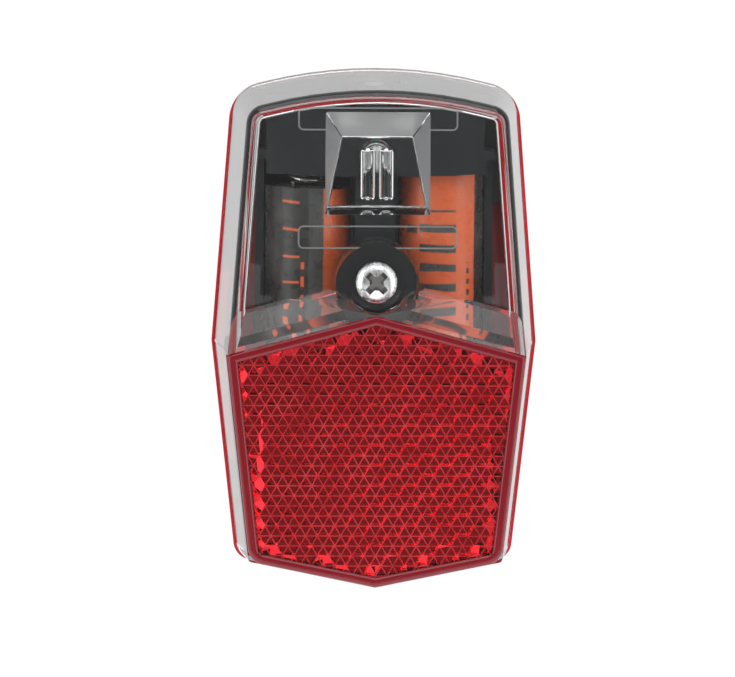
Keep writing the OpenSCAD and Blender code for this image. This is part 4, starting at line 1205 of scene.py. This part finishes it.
def cross_cut(name, length, width, depth, top):
    """Cross-shaped recess that narrows towards its floor."""
    rings = []
    for h, scale in ((top + 0.3 * MM, 1.06), (top, 1.0), (top - depth, 0.62)):
        a, b = length / 2 * scale, width / 2 * (0.35 + 0.65 * scale)
        arms = [(a, -b), (a, b), (b, b), (b, a), (-b, a), (-b, b), (-a, b), (-a, -b), (-b, -b), (-b, -a),
                (b, -a), (b, -b)]
        rings.append([Vector((x, y, h)) for x, y in arms])
    return loft(name, rings)


def make_cover_screw(settings):
    fittings = settings.fittings
    head_r = (SCREW_HIGH.x - SCREW_LOW.x) / 2
    length = SCREW_HIGH.y - SCREW_LOW.y
    under = length - fittings.head_h
    thread_r, root_r = 1.6 * MM, 1.6 * MM - fittings.thread_depth
    rings = threaded(root_r, thread_r, fittings.thread_pitch, 0, under - 1.2 * MM, 0.35 * MM)
    count = len(rings[0])
    rings.insert(0, circle(0, 0, count))
    neck = [(root_r, under - 0.9 * MM), (root_r, under), (head_r - 0.15 * MM, under),
            (head_r, under + 0.15 * MM), (head_r, under + 0.75 * MM)]
    dome_low, dome_h = under + 0.75 * MM, fittings.head_h - 0.75 * MM
    steps = 14

    def dome_top(r):
        return dome_low + dome_h * math.sin(math.acos(min(1, r / head_r))) ** 0.8

    turns = [math.pi / 2 * k / steps for k in range(1, steps + 1)]
    dome = [(head_r * math.cos(turn), dome_top(head_r * math.cos(turn))) for turn in turns]
    rings += [circle(r, h, count) for r, h in neck + dome]
    screw = loft("cover_fastener", rings)
    for turn, scale in ((math.pi / 4, 1.0), (0, 0.52)):
        cut = cross_cut("cross", fittings.cross_len * scale, fittings.cross_w * (1 if scale == 1 else 0.5),
                        fittings.cross_depth, length)
        cut.data.transform(Matrix.Rotation(turn, 4, "Z"))
        combine(screw, cut)
    soften(screw, 0.09 * MM, 2, 55)
    # Faces inside the cross, below the dome, take a darker metal: painted shade in the recess.
    for face in screw.data.polygons:
        r = face.center.xy.length
        if r < 0.8 * head_r and dome_low < face.center.z < dome_top(r) - 0.1 * MM:
            face.material_index = 1
    screw.data.transform(forward(0, -SCREW_HIGH.y, SCREW_Z))
    bright = Finish("bright_plate", Metallic=1.0)
    wear = bright.noise(900, 5, 0.65)
    chips = bright.ramp(bright.noise(1500, 4, 0.7), 0.56, 0.66)
    bright.set(Base_Color=bright.mix(chips, settings.finishes.bright, (0.30, 0.28, 0.26)))
    bright.set(Roughness=bright.ramp(wear, 0.3, 0.7, 0.16, 0.42))
    bright.bump(bright.math("ADD", wear, bright.math("MULTIPLY", chips, -0.5)), 0.035 * MM, 0.55)
    kept = [face.material_index for face in screw.data.polygons]
    # The second metal is darker and paints shade in the cross recess.
    seat(screw, "cover_screw", bright.material, plated("shaded_recess", (0.34, 0.33, 0.32), 0.36))
    screw.data.polygons.foreach_set("material_index", kept)

    seal_r, seal_t = (SEAL_HIGH.x - SEAL_LOW.x) / 2, SEAL_HIGH.y - SEAL_LOW.y
    hole_r, soft = 1.7 * MM, 0.2 * MM
    seal = lathe("seal_washer", [
        (hole_r, soft), (hole_r + soft, 0), (seal_r - soft, 0), (seal_r, soft), (seal_r, seal_t - soft),
        (seal_r - soft, seal_t), (hole_r + soft, seal_t), (hole_r, seal_t - soft)],
        forward(0, -SEAL_HIGH.y, SCREW_Z), closed=True)
    seat(shade(seal), "screw_seal", moulded("seal_rubber", settings.finishes.rubber, 0.6, 1500))


def make_fixings(settings):
    fittings = settings.fittings
    zinc = plated("zinc_plate", settings.finishes.zinc, 0.34, (1, 1, 1))
    low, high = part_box("captive_nut")
    t, flats = high.y - low.y, fittings.nut_flats
    corner_r = flats / 2 / math.cos(math.pi / 6)
    nut = lathe("hex_nut", [(corner_r, 0), (corner_r, t)], count=6)
    rim = flats / 2 * 0.97
    wide = corner_r + 0.02 * MM
    chamfer = (wide - rim) * 0.55
    combine(nut, lathe("turned", [(rim, 0), (wide, chamfer), (wide, t - chamfer), (rim, t)]), "INTERSECT")
    pitch = 0.8 * MM
    bore_r, past = fittings.nut_thread_r, 0.4 * MM
    combine(nut, loft("bore", threaded(bore_r, bore_r + 0.38 * MM, pitch, -past, t + past)))
    nut.data.transform(Matrix.Rotation(math.pi / 6, 4, "Z"))
    nut.data.transform(forward(0, -high.y, 0))
    seat(shade(nut), "captive_nut", zinc)

    low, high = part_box("tray_screws")
    length, head_h, head_r, thread_r = high.y - low.y, 1.3 * MM, 1.9 * MM, 1.1 * MM
    rings = threaded(thread_r - 0.22 * MM, thread_r, 0.9 * MM, 0, length - head_h, 0.3 * MM, 16, 6)
    rings += [circle(r, h, 16) for r, h in (
        (head_r - 0.1 * MM, length - head_h), (head_r, length - head_h + 0.15 * MM),
        (head_r, length - 0.7 * MM), (head_r * 0.86, length - 0.25 * MM), (head_r * 0.5, length), (0, length))]
    screw = loft("tray_screw", rings)
    combine(screw, cross_cut("cross", 2.3 * MM, 0.6 * MM, 0.8 * MM, length))
    screw.data.transform(forward(0, -high.y, 0))
    points = bpy.data.meshes.new("places")
    points.from_pydata([(x, 0, z) for x, z in tray_screw_places()], [], [])
    holder = link("places", points)
    tree = Tree("tray_screw_places", {
        "Screw": ("Object", screw),
        "Places": ("Object", holder),
        "Material": ("Material", zinc),
    })
    places = tree.node("GeometryNodeObjectInfo", {"Object": tree.inputs["Places"]})
    source = tree.node("GeometryNodeObjectInfo", {"Object": tree.inputs["Screw"]})
    spread = tree.node("GeometryNodeInstanceOnPoints", {
        "Points": places.outputs["Geometry"], "Instance": source.outputs["Geometry"]})
    screws = tree.bake(spread.outputs[0], "tray_fasteners")
    for used in (screw, holder):
        mesh = used.data
        bpy.data.objects.remove(used)
        bpy.data.meshes.remove(mesh)
    seat(shade(screws), "tray_screws", zinc)


# Stage

def area_light(name, place, aim, wide, high, watts):
    data = bpy.data.lights.new(name, "AREA")
    data.shape = "RECTANGLE"
    data.size, data.size_y = wide, high
    data.energy = watts
    made = link(name, data)
    made.location = place
    made.rotation_euler = (Vector(aim) - Vector(place)).to_track_quat("-Z", "Y").to_euler()
    return made


def make_world(studio):
    """A pale room that is dim only round the camera, and white to the camera itself."""
    world = bpy.data.worlds.new("studio")
    bpy.context.scene.world = world
    world.use_nodes = True
    tree = world.node_tree
    tree.nodes.clear()
    node = tree.nodes.new
    way = node("ShaderNodeTexCoord").outputs["Generated"]
    parts = node("ShaderNodeSeparateXYZ")
    tree.links.new(way, parts.inputs[0])
    dim_until, bright_from = -0.965, -0.72
    fade = node("ShaderNodeMapRange")
    fade.interpolation_type = "SMOOTHSTEP"
    for key, value in enumerate((dim_until, bright_from, studio.front_glow, studio.room_glow), 1):
        fade.inputs[key].default_value = value
    tree.links.new(parts.outputs[1], fade.inputs[0])
    path = node("ShaderNodeLightPath")
    seen = node("ShaderNodeMath")
    seen.operation = "MAXIMUM"
    tree.links.new(fade.outputs[0], seen.inputs[0])
    tree.links.new(path.outputs["Is Camera Ray"], seen.inputs[1])
    sky = node("ShaderNodeBackground")
    sky.inputs["Color"].default_value = (1, 1, 1, 1)
    tree.links.new(seen.outputs[0], sky.inputs["Strength"])
    output = node("ShaderNodeOutputWorld")
    tree.links.new(sky.outputs[0], output.inputs["Surface"])


def make_stage(settings):
    studio = settings.studio
    scene = bpy.context.scene
    back = Vector((math.sin(studio.azimuth) * math.cos(studio.elevation),
                   -math.cos(studio.azimuth) * math.cos(studio.elevation), math.sin(studio.elevation)))
    turn = (-back).to_track_quat("-Z", "Y").to_matrix() @ Matrix.Rotation(studio.roll, 3, "Z")
    aim = Vector(studio.aim) + turn.col[0] * studio.aim_right + turn.col[1] * studio.aim_up
    data = bpy.data.cameras.new("camera")
    data.lens = studio.lens
    data.sensor_width = 36
    data.clip_start = 0.01
    camera = link("camera", data)
    camera.matrix_world = Matrix.Translation(aim + back * studio.distance) @ turn.to_4x4()
    scene.camera = camera
    scene.view_settings.view_transform = "Standard"

    rim, thick = studio.floor_r, 10 * MM
    floor = lathe("floor", [(0, 0), (rim, 0), (rim, -thick), (0, -thick)],
                  Matrix.Translation((0, 0, studio.floor_z)))
    pale = Finish("floor_paint", Emission_Strength=studio.floor_glow, Emission_Color=(1, 1, 1))
    shaded = tuple(c * 0.98 for c in studio.floor_tint)
    pale.set(Base_Color=pale.mix(pale.noise(3), shaded, studio.floor_tint))
    pale.set(Roughness=pale.ramp(pale.noise(8), 0.3, 0.7, 0.55, 0.7))
    floor.data.materials.append(pale.material)

    middle = (0, -0.02, 0.012)
    area_light("top_box", (0, -0.16, 0.62), middle, 0.7, 0.5, 2.2)
    area_light("left_box", (-0.62, -0.42, 0.18), middle, 0.35, 0.7, 1.5)
    area_light("right_box", (0.62, -0.42, 0.18), middle, 0.35, 0.7, 1.5)
    area_light("front_box", (0.0, -0.75, 0.62), middle, 0.6, 0.3, 1.2)
    make_world(studio)


# Operators, one for each piece or group of like pieces

class PieceOperator:
    """Shared run of the operators below: each makes its own pieces from the scene's settings."""
    bl_options = {"REGISTER", "UNDO"}

    def execute(self, context):
        self.make(context.scene.rear_light)
        return {"FINISHED"}


class REARLIGHT_OT_cover(PieceOperator, bpy.types.Operator):
    """Make the clear cover with its screw tower, light guide and window"""
    bl_idname = "rear_light.cover"
    bl_label = "Clear cover"
    make = staticmethod(make_cover)


class REARLIGHT_OT_reflector(PieceOperator, bpy.types.Operator):
    """Make the red cube-corner reflector with its raised frame"""
    bl_idname = "rear_light.reflector"
    bl_label = "Reflector"
    make = staticmethod(make_reflector)


class REARLIGHT_OT_housing(PieceOperator, bpy.types.Operator):
    """Make the red housing and the gasket in its rim"""
    bl_idname = "rear_light.housing"
    bl_label = "Housing and gasket"
    make = staticmethod(make_housing)


class REARLIGHT_OT_tray(PieceOperator, bpy.types.Operator):
    """Make the black tray that holds the cells"""
    bl_idname = "rear_light.tray"
    bl_label = "Battery tray"
    make = staticmethod(make_tray)


class REARLIGHT_OT_contacts(PieceOperator, bpy.types.Operator):
    """Make the contact plates and their springs"""
    bl_idname = "rear_light.contacts"
    bl_label = "Contacts and springs"
    make = staticmethod(make_contacts)


class REARLIGHT_OT_cells(PieceOperator, bpy.types.Operator):
    """Make the two cells with their printed sleeves"""
    bl_idname = "rear_light.cells"
    bl_label = "Cells"
    make = staticmethod(make_cells)


class REARLIGHT_OT_lamp(PieceOperator, bpy.types.Operator):
    """Make the lamp, its board and the parts on it"""
    bl_idname = "rear_light.lamp"
    bl_label = "Lamp and board"
    make = staticmethod(make_lamp)


class REARLIGHT_OT_switch(PieceOperator, bpy.types.Operator):
    """Make the switch, its plunger and the rubber button"""
    bl_idname = "rear_light.switch"
    bl_label = "Switch and button"
    make = staticmethod(make_switch)


class REARLIGHT_OT_cover_screw(PieceOperator, bpy.types.Operator):
    """Make the cover screw and its sealing washer"""
    bl_idname = "rear_light.cover_screw"
    bl_label = "Cover screw"
    make = staticmethod(make_cover_screw)


class REARLIGHT_OT_fixings(PieceOperator, bpy.types.Operator):
    """Make the mounting nut and the four tray screws"""
    bl_idname = "rear_light.fixings"
    bl_label = "Nut and tray screws"
    make = staticmethod(make_fixings)


class REARLIGHT_OT_stage(PieceOperator, bpy.types.Operator):
    """Make the camera, the floor and the studio lights"""
    bl_idname = "rear_light.stage"
    bl_label = "Stage"
    make = staticmethod(make_stage)


OPERATORS = (REARLIGHT_OT_cover, REARLIGHT_OT_reflector, REARLIGHT_OT_housing, REARLIGHT_OT_tray,
             REARLIGHT_OT_contacts, REARLIGHT_OT_cells, REARLIGHT_OT_lamp, REARLIGHT_OT_switch,
             REARLIGHT_OT_cover_screw, REARLIGHT_OT_fixings, REARLIGHT_OT_stage)


class REARLIGHT_PT_panel(bpy.types.Panel):
    """Lists the pieces of the rear light"""
    bl_idname = "REARLIGHT_PT_panel"
    bl_label = "Rear light"
    bl_space_type = "VIEW_3D"
    bl_region_type = "UI"
    bl_category = "Rear light"

    def draw(self, context):
        for operator in OPERATORS:
            self.layout.operator(operator.bl_idname)


GROUPS = (CaseSizes, CoverSizes, ReflectorSizes, FittingSizes, Finishes, Studio, RearLight)
CLASSES = (*GROUPS, *OPERATORS, REARLIGHT_PT_panel)


def register():
    for cls in CLASSES:
        bpy.utils.register_class(cls)
    bpy.types.Scene.rear_light = PointerProperty(type=RearLight)


def unregister():
    del bpy.types.Scene.rear_light
    for cls in reversed(CLASSES):
        bpy.utils.unregister_class(cls)


def main():
    register()
    for operator in OPERATORS:
        group, name = operator.bl_idname.split(".")
        getattr(getattr(bpy.ops, group), name)()


if __name__ == "__main__":
    main()
